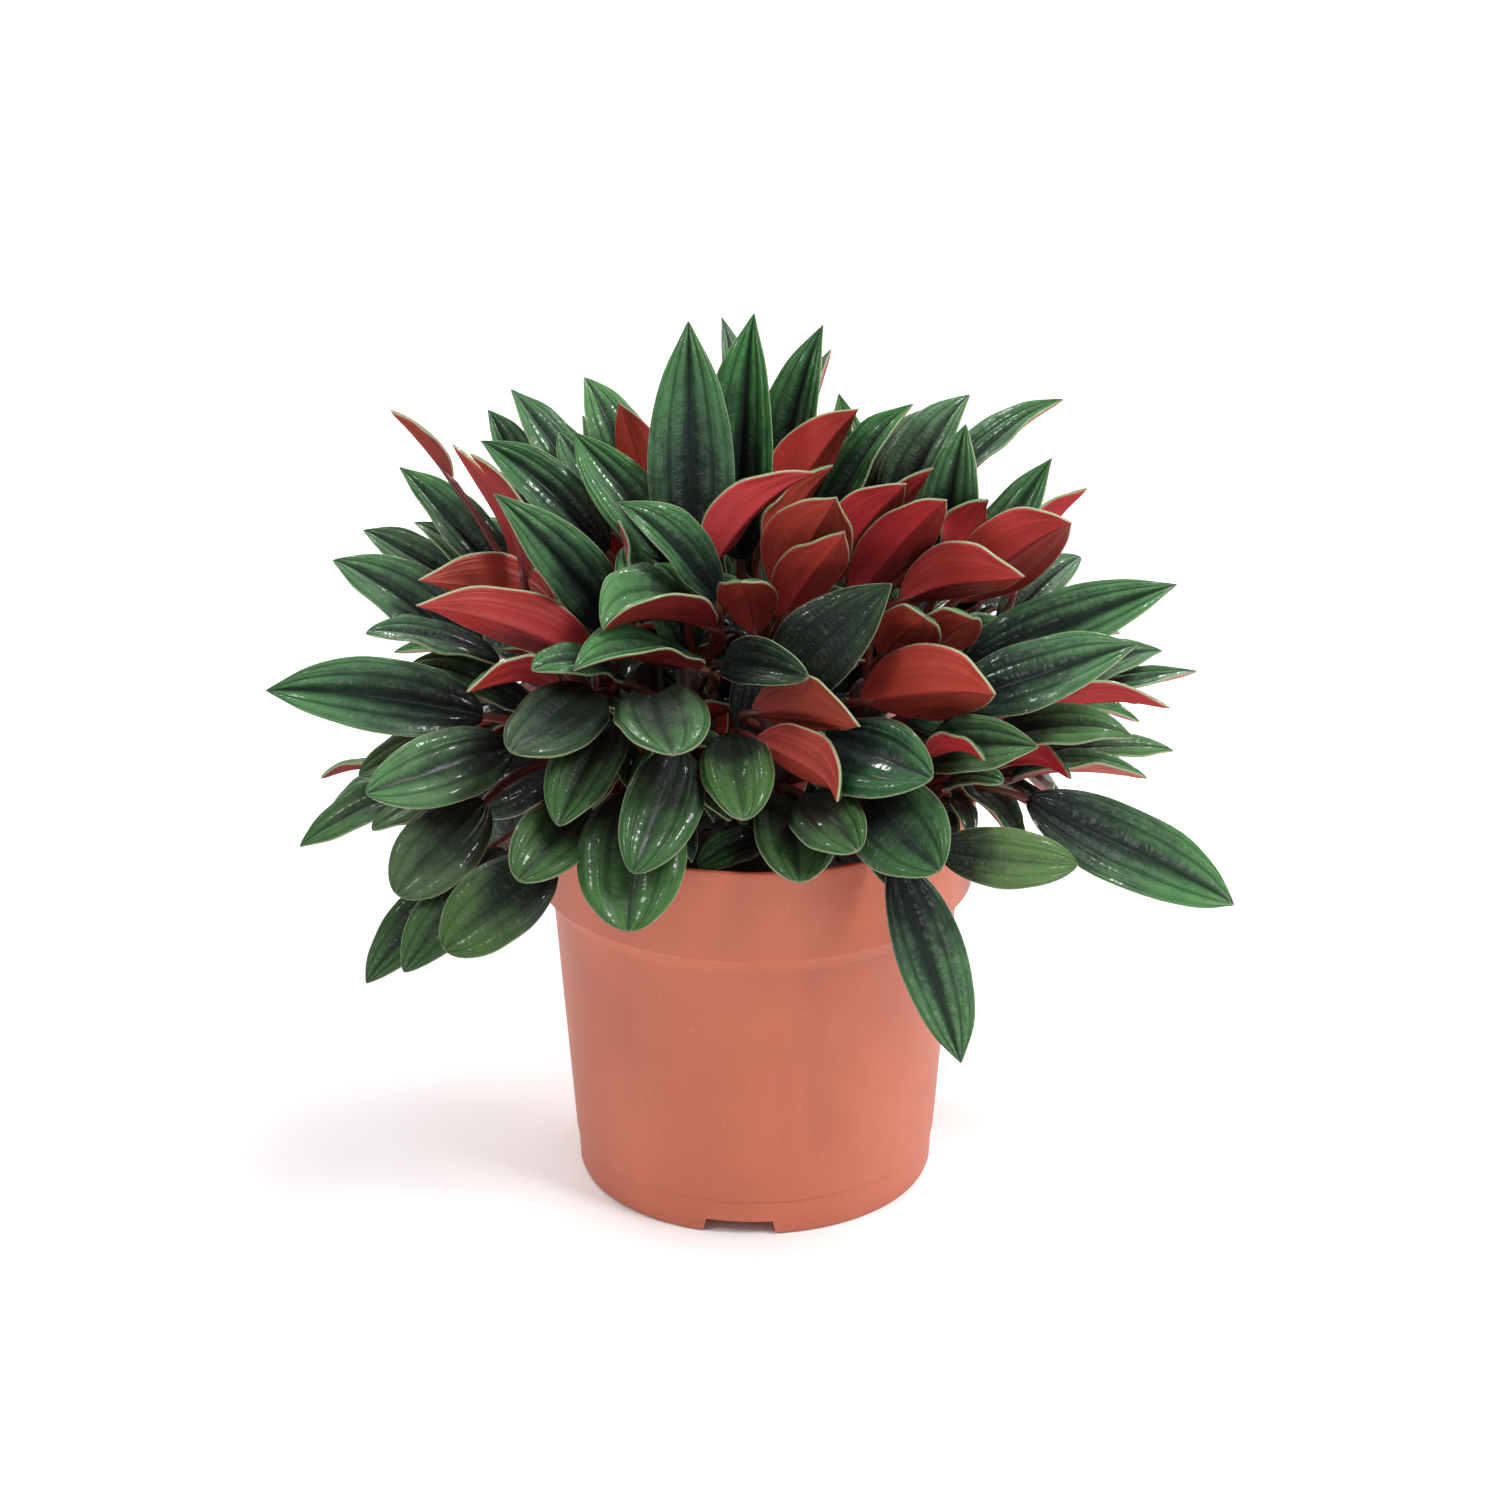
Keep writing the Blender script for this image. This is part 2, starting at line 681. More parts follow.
def outward_at(heading, rise):
    """The direction at a heading from the back and a rise above the level, both in degrees."""
    turned, raised = math.radians(heading), math.radians(rise)
    level = math.cos(raised)
    return np.array((math.sin(turned) * level, math.cos(turned) * level, math.sin(raised)))


def nearest_crown(point):
    return min(CROWNS, key=lambda name: np.linalg.norm(point - np.array(CROWNS[name]["hub"])))


def tier_leaf(tier, slot, draw):
    """A leaf whose tip is near one slot of a tier and that points away from the nearest crown's hub."""

    def scattered(value, scatter):
        return value + (draw() - 0.5) * scatter

    heading = scattered(((slot + 0.5) / tier["count"] - 0.5) * tier["spread"], HEADING_SCATTER)
    outward = outward_at(heading, scattered(tier["rise"], RISE_SCATTER))
    tip = outward * scattered(tier["reach"], REACH_SCATTER) + DOME_MIDDLE
    crown = nearest_crown(tip)
    to_hub = np.array(CROWNS[crown]["hub"]) - tip
    full = TIER_LEAF_LENGTH * (INNER_LENGTH_SHARE + tier["reach"] / FULL_LENGTH_REACH)
    length = full * scattered(1, TIER_LEAF_SCATTER)
    foot = tip + to_hub * min(LONGEST_BLADE_SHARE, length / np.linalg.norm(to_hub))
    return Leaf(crown, tip, foot, TIER_LEAF_WIDTH * scattered(1, TIER_LEAF_SCATTER), None, HIDDEN_AGE)


def heart_leaf(crown, slot, draw):
    """A short young leaf that springs from a crown's hub."""
    heading = (slot + draw()) * 360 / HEART_LEAVES
    outward = outward_at(heading, HEART_RISE + (draw() - 0.5) * HEART_RISE_SCATTER)
    length = HEART_LENGTH + (draw() - 0.5) * HEART_LENGTH_SCATTER
    foot = np.array(CROWNS[crown]["hub"]) + outward * HEART_PETIOLE
    return Leaf(crown, foot + outward * length, foot, HEART_WIDTH_SHARE * length, None)


class Room:
    """Which cells of space each crown takes up, and how near the seen leaves are in each sight cell."""

    def __init__(self, leaves, cell):
        self.cell = cell
        self.low = np.floor(np.array(ROOM_LOW) / cell).astype(int)
        size = np.floor(np.array(ROOM_HIGH) / cell).astype(int) - self.low
        self.crowns = np.zeros(size, dtype=np.uint16)
        self.blades = np.zeros(size, dtype=np.uint16)
        self.nearest = np.full(SIGHT_GRID**2, -math.inf)
        for leaf in leaves:
            self.take(leaf.crown, leaf.samples())
        for crown in CROWNS:
            self.take(crown, stem_samples(crown))

    def show(self, leaves):
        """Notes how near the seen leaves are, so that nothing grows in front of them."""
        nearest = np.full(SIGHT_GRID**2, math.inf)
        for leaf in leaves:
            across, up, depths = seen_places(leaf.samples()[0])
            np.minimum.at(nearest, sight_cells(across, up), depths)
        self.nearest = np.where(np.isinf(nearest), -math.inf, nearest)

    def cells(self, points):
        return np.floor(points / self.cell).astype(int) - self.low

    def take(self, crown, samples):
        """Marks the cells of the samples, and those next to them, as the crown's."""
        points, shares = samples
        cells = self.cells(points)
        mark = np.uint16(1 << list(CROWNS).index(crown))
        for holders, kept in ((self.crowns, cells), (self.blades, cells[shares > BLADE_STARTS])):
            for offset in np.ndindex(3, 3, 3):
                holders[tuple((kept + offset - 1).T)] |= mark

    def fits(self, leaf, samples, petiole_too=True):
        """Whether a leaf clears the pot, the other crowns and its own crown's blades, and hides no seen leaf."""
        across, up, _ = seen_places(leaf.tip)
        if math.hypot(across, up) > SEEN_REACH:
            return False
        points, shares = samples
        if pot_in_the_way(points).any():
            return False
        mark = np.uint16(1 << list(CROWNS).index(leaf.crown))
        cells = self.cells(points)
        tested = slice(None) if petiole_too else shares > BLADE_STARTS
        if (self.crowns[tuple(cells[tested].T)] & ~mark).any():
            return False
        if (self.blades[tuple(cells[shares > BLADE_STARTS].T)] & mark).any():
            return False
        across, up, depths = seen_places(points)
        return not (depths < self.nearest[sight_cells(across, up)]).any()


def pot_in_the_way(points):
    """Which points are too near the soil or the pot's rim."""
    out = np.hypot(points[:, 0], points[:, 1])
    over_soil = (out < COLLAR_RADIUS) & (points[:, 2] < SOIL_TOP + SOIL_CROWN + POT_CLEARANCE)
    on_rim = (abs(out - COLLAR_RADIUS) < POT_CLEARANCE) & (points[:, 2] < POT_HEIGHT + POT_CLEARANCE)
    return over_soil | on_rim


def grow(room, grown, leaf_in):
    """Tries for a leaf that there is room for."""
    for _ in range(GROWTH_TRIES):
        leaf = leaf_in()
        leaf.place()
        samples = leaf.samples()
        if room.fits(leaf, samples):
            room.take(leaf.crown, samples)
            grown.append(leaf)
            return


def hidden_leaves(seen):
    """Leaves of the plant's heart and back, grown only where there is room."""
    room = Room(seen, ROOM_CELL)
    room.show(seen)
    grown = []
    draw = seeded(TIER_SEED)
    for crown in CROWNS:
        for slot in range(HEART_LEAVES):
            grow(room, grown, lambda: heart_leaf(crown, slot, draw))
    for tier in TIERS:
        for slot in range(tier["count"]):
            grow(room, grown, lambda: tier_leaf(tier, slot, draw))
    fill_gaps(seen, grown, seeded(GAP_SEED))
    return [*grown, *backing_leaves()]


def leaf_in_row(crown, row, age, darkness, **more):
    """The leaf that a row of eight numbers describes."""
    tip, foot = sighted(*row[:3]), sighted(*row[3:6])
    leaf = Leaf(crown, tip, foot, *row[6:], age, darkness, **more)
    leaf.place()
    return leaf


def backing_leaves():
    return [leaf_in_row(crown, row, HIDDEN_AGE, GAP_DARKNESS) for crown, rows in BACKING.items() for row in rows]


def gap_leaf(across, up, shortest, draw):
    """A young leaf whose middle is seen at a place, at any depth, pointing away from the nearest crown's hub."""
    middle = sighted(across, up, GAP_NEAREST + (GAP_FURTHEST - GAP_NEAREST) * draw())
    crown = nearest_crown(middle)
    from_hub = middle - np.array(CROWNS[crown]["hub"])
    reach = np.linalg.norm(from_hub)
    length = min(shortest + GAP_LEAF_SCATTER * draw(), GAP_LONGEST_SHARE * reach)
    outward = from_hub / reach * (length / 2)
    breadth = GAP_LEAF_BREADTH * (GAP_BREADTH_LEAST + GAP_BREADTH_SCATTER * draw())
    leaf = Leaf(crown, middle + outward, middle - outward, breadth * length, None, HIDDEN_AGE, GAP_DARKNESS)
    leaf.fills_gap = True
    return leaf


def gap_share(across, up):
    """How far out a seen place is, from 0 in the middle of the oval to 1 on its rim."""
    return math.hypot((across - GAP_MIDDLE[0]) / GAP_REACH[0], (up - GAP_MIDDLE[1]) / GAP_REACH[1])


def gap_cells(across, up):
    return grid_cells(across, up, GAP_GRAIN, GAP_GRID)


def fill_gaps(seen, grown, draw):
    """Adds leaves to the grown ones until the eye finds no way into the heart, or every pass is over."""
    room = Room([*seen, *grown], GAP_CELL)
    room.show(seen)
    nearest = np.full(GAP_GRID**2, math.inf)
    for leaf in [*seen, *grown]:
        cover(nearest, leaf)
    for gap_pass in GAP_PASSES:
        for up in np.arange(GAP_MIDDLE[1] - GAP_REACH[1], GAP_MIDDLE[1] + GAP_REACH[1], gap_pass["step"]):
            for across in np.arange(GAP_MIDDLE[0] - GAP_REACH[0], GAP_MIDDLE[0] + GAP_REACH[0], gap_pass["step"]):
                fill_gap(gap_pass, across, up, room, nearest, grown, draw)


def fill_gap(gap_pass, across, up, room, nearest, grown, draw):
    """Tries for leaves at one seen place; none may show its tip past the oval's rim."""
    on_soil = SOIL_SEEN_LEFT < across < SOIL_SEEN_RIGHT and up < SOIL_SEEN_TOP
    if gap_share(across, up) > 1 or on_soil:
        return
    for _ in range(gap_pass["tries"]):
        if nearest[gap_cells(across, up)] < gap_pass["deeper"]:
            return
        leaf = gap_leaf(across, up, gap_pass["length"], draw)
        leaf.place()
        samples = leaf.samples()
        tip_across, tip_up, depth = seen_places(leaf.tip)
        shows_tip = gap_share(tip_across, tip_up) > 1 and nearest[gap_cells(tip_across, tip_up)] > depth
        if not shows_tip and room.fits(leaf, samples, petiole_too=False):
            room.take(leaf.crown, samples)
            cover(nearest, leaf)
            grown.append(leaf)


def cover(nearest, leaf):
    """Notes how near a blade comes in each fine cell that the eye sees it in."""
    shares = np.repeat((np.arange(COVER_ROWS) + 0.5) / COVER_ROWS, COVER_COLUMNS)
    sides = np.tile((np.arange(COVER_COLUMNS) + 0.5) * 2 / COVER_COLUMNS - 1, COVER_ROWS)
    centre, normal, side = leaf.frames(shares)
    half = leaf.half_width(shares) * COVER_SHARE
    points = centre + side * (sides * half)[:, None] + normal * (CUP * sides**2 * half)[:, None]
    across, up, depths = seen_places(points)
    np.minimum.at(nearest, gap_cells(across, up), depths)


def seen_leaves():
    """The leaves of the crowns' rows, settled clear of each other."""
    leaves = []
    for crown, rows in CROWNS.items():
        for index, row in enumerate(rows["leaves"]):
            age = AGES.get(crown, {}).get(index, 0.0)
            darkness = DARKEST.get(crown, {}).get(index, DARKNESS.get(crown, USUAL_DARKNESS))
            shape = SHAPES.get(crown, {}).get(index, {})
            leaves.append(leaf_in_row(crown, row, age, darkness, shape=shape))
    settle(leaves)
    return leaves


# Materials. In a recipe a colour goes from one to the next by a share, and a ramp rises between two values.

# The leaf map spans this many vein spacings across a blade
MAP_SPAN = 6
# Sockets of the node that mixes colours: its factor, its two colours and its result
MIX_FACTOR, MIX_FIRST, MIX_SECOND, MIX_RESULT = 0, 6, 7, 2
# How far the finest grain of each stands up
STALK_GRAIN = 0.1 * MM
PLASTIC_GRAIN = 0.06 * MM
PEAT_GRAIN = 1.2 * MM


class Wire:
    """A number or colour that runs through a material's nodes; arithmetic on it adds the Math nodes."""

    def __init__(self, recipe, socket):
        self.recipe = recipe
        self.socket = socket

    def maths(self, operation, *values):
        return self.recipe.node("ShaderNodeMath", {"operation": operation}, dict(enumerate(values)))

    def __add__(self, other):
        return self.maths("ADD", self, other)

    def __radd__(self, other):
        return self.maths("ADD", other, self)

    def __sub__(self, other):
        return self.maths("SUBTRACT", self, other)

    def __rsub__(self, other):
        return self.maths("SUBTRACT", other, self)

    def __mul__(self, other):
        return self.maths("MULTIPLY", self, other)

    def __rmul__(self, other):
        return self.maths("MULTIPLY", other, self)

    def __abs__(self):
        return self.maths("ABSOLUTE", self)

    def fraction(self):
        return self.maths("FRACT", self)

    def rising(self, low, high):
        """0 below low, 1 above high and smooth between."""
        ends = {"Value": self, "From Min": low, "From Max": high}
        return self.recipe.node("ShaderNodeMapRange", {"interpolation_type": "SMOOTHSTEP"}, ends)


class Recipe:
    """A material under construction."""

    def __init__(self, name):
        self.material = bpy.data.materials.new(name)
        self.material.use_nodes = True
        self.tree = self.material.node_tree
        self.tree.nodes.clear()

    def node(self, kind, settings=None, inputs=None, output=0):
        """Adds a node: its settings first, then the values or wires of its sockets. Returns one output."""
        made = self.tree.nodes.new(kind)
        for name, value in (settings or {}).items():
            setattr(made, name, value)
        for key, value in (inputs or {}).items():
            if isinstance(value, Wire):
                self.tree.links.new(value.socket, made.inputs[key])
            else:
                made.inputs[key].default_value = value
        return Wire(self, made.outputs[output])

    def mixed(self, share, first, second):
        """A colour that goes from first to second as share goes from 0 to 1."""
        settings = {"data_type": "RGBA", "clamp_factor": True}
        colours = {MIX_FIRST: opaque(first), MIX_SECOND: opaque(second)}
        return self.node("ShaderNodeMix", settings, {MIX_FACTOR: share, **colours}, MIX_RESULT)

    def noise(self, place, scale, detail=3.0, roughness=0.5):
        """A soft random value round 0.5."""
        inputs = {"Vector": place, "Scale": scale, "Detail": detail, "Roughness": roughness}
        return self.node("ShaderNodeTexNoise", None, inputs)

    def stretched(self, place, scale):
        return self.node("ShaderNodeMapping", None, {"Vector": place, "Scale": scale})

    def place(self):
        return self.node("ShaderNodeTexCoord", None, None, "Object")

    def leaf_value(self, name):
        """What set_values wrote on the leaf under this name."""
        return self.node("ShaderNodeAttribute", {"attribute_name": name}, None, "Fac")

    def split(self, vector):
        parts = self.node("ShaderNodeSeparateXYZ", None, {0: vector})
        return [Wire(self, socket) for socket in parts.socket.node.outputs]

    def joined(self, x, y, z):
        return self.node("ShaderNodeCombineXYZ", None, {0: x, 1: y, 2: z})

    def bump(self, height, distance, strength=1.0):
        inputs = {"Height": height, "Distance": distance, "Strength": strength}
        return self.node("ShaderNodeBump", None, inputs)

    def finish(self, **inputs):
        """Closes the recipe with a surface shader and returns the material."""
        named = {name.replace("_", " "): value for name, value in inputs.items()}
        surface = self.node("ShaderNodeBsdfPrincipled", None, {**named, "Base Color": opaque(named["Base Color"])})
        output = self.tree.nodes.new("ShaderNodeOutputMaterial")
        self.tree.links.new(surface.socket, output.inputs["Surface"])
        return self.material


def opaque(colour):
    return colour if isinstance(colour, Wire) else (*tuple(colour)[:3], 1.0)


def leaf_map(recipe):
    """Across a blade in veins from its middle, along it from 0 to 1, and how far it is to the nearest long vein."""
    across, along, _ = recipe.split(recipe.node("ShaderNodeUVMap", {"uv_map": "leaf"}))
    across = (across - 0.5) * MAP_SPAN
    seed = recipe.leaf_value("tint") * 40.0
    wobble = recipe.noise(recipe.joined(across * 0.6, along * 5.0, seed), 1.0, 2.0) - 0.5
    vein = abs((across + wobble * 0.16 + 0.5).fraction() - 0.5)
    return across, along, seed, vein


def upper_face_material(look):
    """Glossy green ribs between sunken veins, near black along the middle and at the foot, in a thin pale rim."""
    recipe = Recipe("leaf_upper_face")
    across, along, seed, vein = leaf_map(recipe)
    tint, age, edge = (recipe.leaf_value(name) for name in ("tint", "age", "edge"))
    gloom, frost = recipe.leaf_value("gloom"), recipe.leaf_value("frost")
    out = abs(across)
    mottle = recipe.noise(recipe.joined(across * 1.1, along * 7.0, seed), 1.0, 4.0, 0.6)
    wrinkles = recipe.noise(recipe.joined(across * 2.2, along * 38.0, seed), 1.0, 4.0, 0.65)
    light = along * (age * 0.9 + 1.1) + out * 0.12 + (mottle - 0.5) * 0.8 - age * 0.45 - gloom * 0.55
    greening = light.rising(0.05, 0.75)
    band = 1.0 - out.rising(0.0, 1.0 - along * 0.55)
    side_vein = (1.0 - vein.rising(0.0, 0.2)) * (1.0 - out.rising(0.7, 2.3) * 0.75)
    green = recipe.mixed(light.rising(0.35, 1.25) + (mottle - 0.5) * 0.6, look.rib_colour, look.tip_colour)
    green = recipe.mixed(age * 0.8, green, look.old_colour)
    green = recipe.mixed(tint * 0.4, green, look.fresh_colour)
    shade = recipe.mixed(age * 0.4, look.vein_colour, look.old_vein_colour)
    green = recipe.mixed(frost * (mottle * 0.7 + 0.4), green, look.frost_colour)
    lines = (1.0 - band * (0.85 - age * 0.45)) * (1.0 - side_vein * (0.6 - age * 0.4))
    depth = lines * (1.0 - gloom * 0.65)
    face = recipe.mixed(greening * depth, shade, green)
    rim = 1.0 - (edge + (mottle - 0.5) * 0.2).rising(0.0, 0.24)
    face = recipe.mixed(rim * 0.7, face, look.rim_colour)
    crests = vein.rising(0.02, 0.25)
    glints = wrinkles.rising(0.48, 0.6) * crests * (1.0 - age * 0.5)
    height = wrinkles * crests + mottle * 0.3
    return recipe.finish(
        Base_Color=face,
        Roughness=0.27 + mottle * 0.14 + rim * 0.15,
        Specular_IOR_Level=0.18,
        Coat_Weight=0.04 + glints * 0.95,
        Coat_Roughness=0.1,
        Normal=recipe.bump(height, look.pucker),
    )


def underside_material(look):
    """Satin red, one half of the blade duller than the other, with faint veins, a dark keel and a cream rim."""
    recipe = Recipe("leaf_underside")
    across, along, seed, vein = leaf_map(recipe)
    tint, age, edge, gloom = (recipe.leaf_value(name) for name in ("tint", "age", "edge", "gloom"))
    out = abs(across)
    mottle = recipe.noise(recipe.joined(across * 0.8, along * 3.0, seed), 1.0, 4.0, 0.6)
    red = recipe.mixed(tint.rising(0.55, 1.0) * 0.95 + (mottle - 0.5) * 0.6, look.crimson, look.brick)
    red = recipe.mixed(age * 0.6, red, look.old_underside)
    dull = abs(across.rising(-0.12, 0.12) - gloom.rising(0.49, 0.51))
    red = recipe.mixed(dull * (mottle * 0.5 + 0.25), red, look.dull_red)
    red = recipe.mixed(mottle.rising(0.5, 0.75) * 0.35, red, look.deep_red)
    red = recipe.mixed((1.0 - along).rising(0.35, 1.0) * 0.55, red, look.deep_red)
    red = recipe.mixed((1.0 - vein.rising(0.0, 0.06)) * 0.22, red, look.deep_red)
    red = recipe.mixed((1.0 - out.rising(0.02, 0.16)) * 0.4, red, look.deep_red)
    rim = 1.0 - (edge + (mottle - 0.5) * 0.25).rising(0.0, 0.24)
    red = recipe.mixed(rim * 0.8, red, look.cream)
    grain = recipe.noise(recipe.joined(across * 4.0, along * 50.0, seed), 1.0, 3.0)
    height = vein.rising(0.0, 0.2) * -0.2 + grain * 0.12
    return recipe.finish(
        Base_Color=red,
        Roughness=0.3 + mottle * 0.16,
        Specular_IOR_Level=0.24,
        Normal=recipe.bump(height, look.pucker * 0.7),
    )


def stalk_material(look):
    """Smooth red petioles and stems, greener in places, with fine lengthwise streaks."""
    recipe = Recipe("red_stalk")
    place = recipe.place()
    patches = recipe.noise(place, 90.0, 3.0)
    streaks = recipe.noise(recipe.stretched(place, (9, 9, 1)), 160.0)
    colour = recipe.mixed(patches.rising(0.45, 0.75) * 0.55, look.stalk_red, look.stalk_green)
    colour = recipe.mixed(streaks.rising(0.4, 0.8) * 0.3, colour, look.deep_red)
    colour = recipe.mixed(recipe.leaf_value("gloom") * 0.9, colour, look.stem_colour)
    return recipe.finish(
        Base_Color=colour,
        Roughness=0.34 + patches * 0.12,
        Normal=recipe.bump(streaks, STALK_GRAIN),
    )


def pot_material(look):
    """Satin moulded plastic in terracotta, slightly uneven, with dust in its fine grain."""
    recipe = Recipe("terracotta_plastic")
    place = recipe.place()
    clouds = recipe.noise(place, 22.0, 4.0)
    flow = recipe.noise(recipe.stretched(place, (6, 6, 1)), 18.0, 3.0)
    grain = recipe.noise(place, 2600.0, 2.0)
    dust = recipe.noise(place, 700.0, 2.0).rising(0.66, 0.76)
    colour = recipe.mixed(clouds.rising(0.35, 0.7) * 0.7, look.colour, look.light_colour)
    colour = recipe.mixed((flow - 0.5).rising(0.0, 0.3) * 0.25, colour, look.deep_colour)
    colour = recipe.mixed(dust * 0.12, colour, look.dust_colour)
    return recipe.finish(
        Base_Color=colour,
        Roughness=0.4 + clouds * 0.12 + grain * 0.08,
        Specular_IOR_Level=0.5,
        Normal=recipe.bump(grain * 0.5 + flow * 0.5, PLASTIC_GRAIN),
    )


def soil_material(look):
    """Moist dark peat with lighter fibres and crumbs."""
    recipe = Recipe("dark_peat")
    place = recipe.place()
    clods = recipe.noise(place, 120.0, 5.0, 0.65)
    fibres = recipe.noise(recipe.stretched(place, (1, 6, 3)), 260.0, 3.0)
    colour = recipe.mixed(clods.rising(0.35, 0.7), look.dark_peat, look.peat)
    colour = recipe.mixed(fibres.rising(0.62, 0.74) * 0.5, colour, look.fibre)
    return recipe.finish(
        Base_Color=colour,
        Roughness=0.82 + clods * 0.15,
        Normal=recipe.bump(clods + fibres * 0.4, PEAT_GRAIN),
    )


def floor_material(look):
    """A plain matt floor with the least unevenness."""
    recipe = Recipe("pale_floor")
    clouds = recipe.noise(recipe.place(), 3.0, 2.0)
    colour = recipe.mixed(clouds * 0.2, look.floor_colour, look.floor_shade)
    return recipe.finish(Base_Color=colour, Roughness=0.7 + clouds * 0.1)


# Modelling

# Lines of the blade from its middle to its rim, and the places of its long veins among them, counted out from
# the middle
BLADE_LINES = (0, 0.07, 0.16, 0.27, 0.4, 0.52, 0.62, 0.74, 0.86, 0.94, 1)
VEIN_PLACES = (0, 0.52, 0.86, 1.06)
VEIN_COUNTS = (0, 1, 2, 2.6)
BLADE_STEPS = 24
SMALL_BLADE_LINES = (0, 0.26, 0.52, 0.69, 0.86, 1)
SMALL_BLADE_STEPS = 12
BLADE_ENDS = (0.012, 0.997)
PETIOLE_SIDES = 8
PETIOLE_STEPS = 8
PETIOLE_END = 0.12
PETIOLE_PLACES = (-1, -0.85, -0.3, 0, 0.06, PETIOLE_END)
PETIOLE_GIRTHS = (1.25, 1.04, 0.95, 0.92, 0.6, 0.2)
PETIOLE_SINKS = -0.05
PETIOLE_DEPTH = 0.55
PETIOLE_HOLLOW = 0.82
SLIMMEST_PETIOLE = 0.55
FULL_PETIOLE_WIDTH = 36

# A blade's outline. From this turn on, in degrees, a leaf shows its red back.
SHOWS_BACK = 90
BACK_BASE_FULLNESS = 0.75
BACK_TIP_FULLNESS = 1.2
DRAWN_OUT = 0.3
DRAWN_OUT_LENGTH = 0.12
BROAD_FLATNESS = 0.9
UNEVENNESS = 0.24

# How a blade folds: from least to most by chance, less when it is flat, and for a leaf that shows its back in line
# with how much of its length is seen
FOLD_LEAST = 0.75
FOLD_SCATTER = 0.5
FLAT_FOLD_LOSS = 0.9
FOLD_AT_FOOT = 0.9
FOLD_GAIN = 0.35
BACK_FOLD = 1.5
BACK_FOLD_LEAST = 0.35
BACK_FOLD_SLOPE = 1.9
BACK_FOLD_OFFSET = 0.45
KEEL_ROUNDING = 0.04

# How rims droop beyond a share of the half width, how ribs fade in narrow and old blades, and how a rim waves
OLD_CUP = 0.1
RIM_DROOP = 0.1
OLD_RIM_DROOP = 0.16
DROOP_STARTS = 0.7
DROOP_SPAN = 0.3
RIB_FADE_WIDTH = 4.5
OLD_RIB_LOSS = 0.55
OUTER_RIBS = 0.86
OUTER_RIB_SHARE = 0.5
UNDERSIDE_RIB_SHARE = 0.4
LONG_WAVES = 1.6
SHORT_WAVES = 2.9
SHORT_WAVE_SHARE = 0.6
WAVE_FADE_WIDTH = 6

# How a blade thins towards its rim and its tip, and the midrib that stands out under it
RIM_THINNING = 0.72
TIP_THICKNESS = 0.35
TIP_LENGTH = 0.06
MIDRIB_HEIGHT = 0.5
MIDRIB_WIDTH = 0.12

# How far a leaf sways sideways and hooks at its tip, as shares of its length, how far it stays inside the box, and
# how its darkness and frost vary by chance
SWAY = 0.022
HOOK = 0.035
BOX_MARGIN = 0.15
TIP_RIM_SHARE = 0.3
DARKNESS_SCATTER = 0.25
FROST_LEAST = 0.6
FROST_SCATTER = 0.8

# Stems: sides, radius, depth under the soil's top, and by how much each step widens, with leaf scars that come
# back every few steps. The dome on top is given as each step's rise and widening.
STEM_SIDES = 14
STEM_GIRTH = 3.6
STEM_DEPTH = 8
STEM_STEPS = 10
STEM_GROWTH = 1.035
STEM_SCARS = (1.0, 1.09, 0.955)
STEM_DOME = ((2.4, 0.72), (1.6, 0.45))

# Pot, with what is cut out of its underside, and soil. Clods are noise of several scales, each with its height.
POT_SIDES = 128
CHANNELS = 3
HOLE_SIDES = 24
FACES_UP = 0.9
HOLE_MIDDLE = 5 * MM
HOLE_DEPTH = 14 * MM
BELOW_POT = 2 * MM
SOIL_GAP = 0.8 * MM
SOIL_SIDES = 96
CLODS = ((70, 0.5), (210, 0.35), (520, 0.2))
CRUMB_LEAST = 0.5
CRUMB_GROWTH = 1.3
CRUMB_NARROWEST = 0.5
CRUMB_BUMPS = 0.35
CRUMB_BUMP_WAVES = 5
CRUMB_MARGIN = 2 * MM
BED_TOP = 1 * MM
RIM_MARGIN = 0.6
CALM_RIM = 12

# Edges of the pot and the soil that bend more than this, in degrees, are shaded sharp
POT_SHARP_EDGE = 32
SOIL_SHARP_EDGE = 60


def start_afresh():
    """Leaves edit mode and deselects everything."""
    if bpy.context.object and bpy.context.object.mode != "OBJECT":
        bpy.ops.object.mode_set(mode="OBJECT")
    bpy.ops.object.select_all(action="DESELECT")


def settle_place():
    """Puts the active object's place into its mesh."""
    bpy.ops.object.transform_apply(location=True, rotation=True, scale=True)
    return bpy.context.object


def edit_all():
    """Enters edit mode with everything selected."""
    bpy.ops.object.mode_set(mode="EDIT")
    bpy.ops.mesh.select_all(action="SELECT")


def leave_edit():
    bpy.ops.object.mode_set(mode="OBJECT")


def close_up():
    """Turns every face of the edited piece outward and leaves edit mode."""
    bpy.ops.mesh.select_all(action="SELECT")
    bpy.ops.mesh.normals_make_consistent(inside=False)
    leave_edit()


def start_ring(sides, radius, location=(0, 0, 0), rotation=(0, 0, 0)):
    """A filled ring in edit mode, ready to be drawn up into a round piece."""
    start_afresh()
    bpy.ops.mesh.primitive_circle_add(
        vertices=sides, radius=radius, fill_type="NGON", location=location, rotation=rotation
    )
    ring = settle_place()
    edit_all()
    return ring


def draw_up(outline):
    """Draws the selected ring up through an outline's radii and heights."""
    for (radius, height), (wider, higher) in zip(outline, outline[1:]):
        extrude(z=higher - height, widen=wider / radius)


def extrude(y=0.0, z=0.0, widen=1.0):
    """Extrudes the selection along y or z and widens its end level."""
    bpy.ops.mesh.extrude_region_move(TRANSFORM_OT_translate={"value": (0, y, z)})
    if widen != 1.0:
        bpy.ops.transform.resize(value=(widen, widen, 1.0))


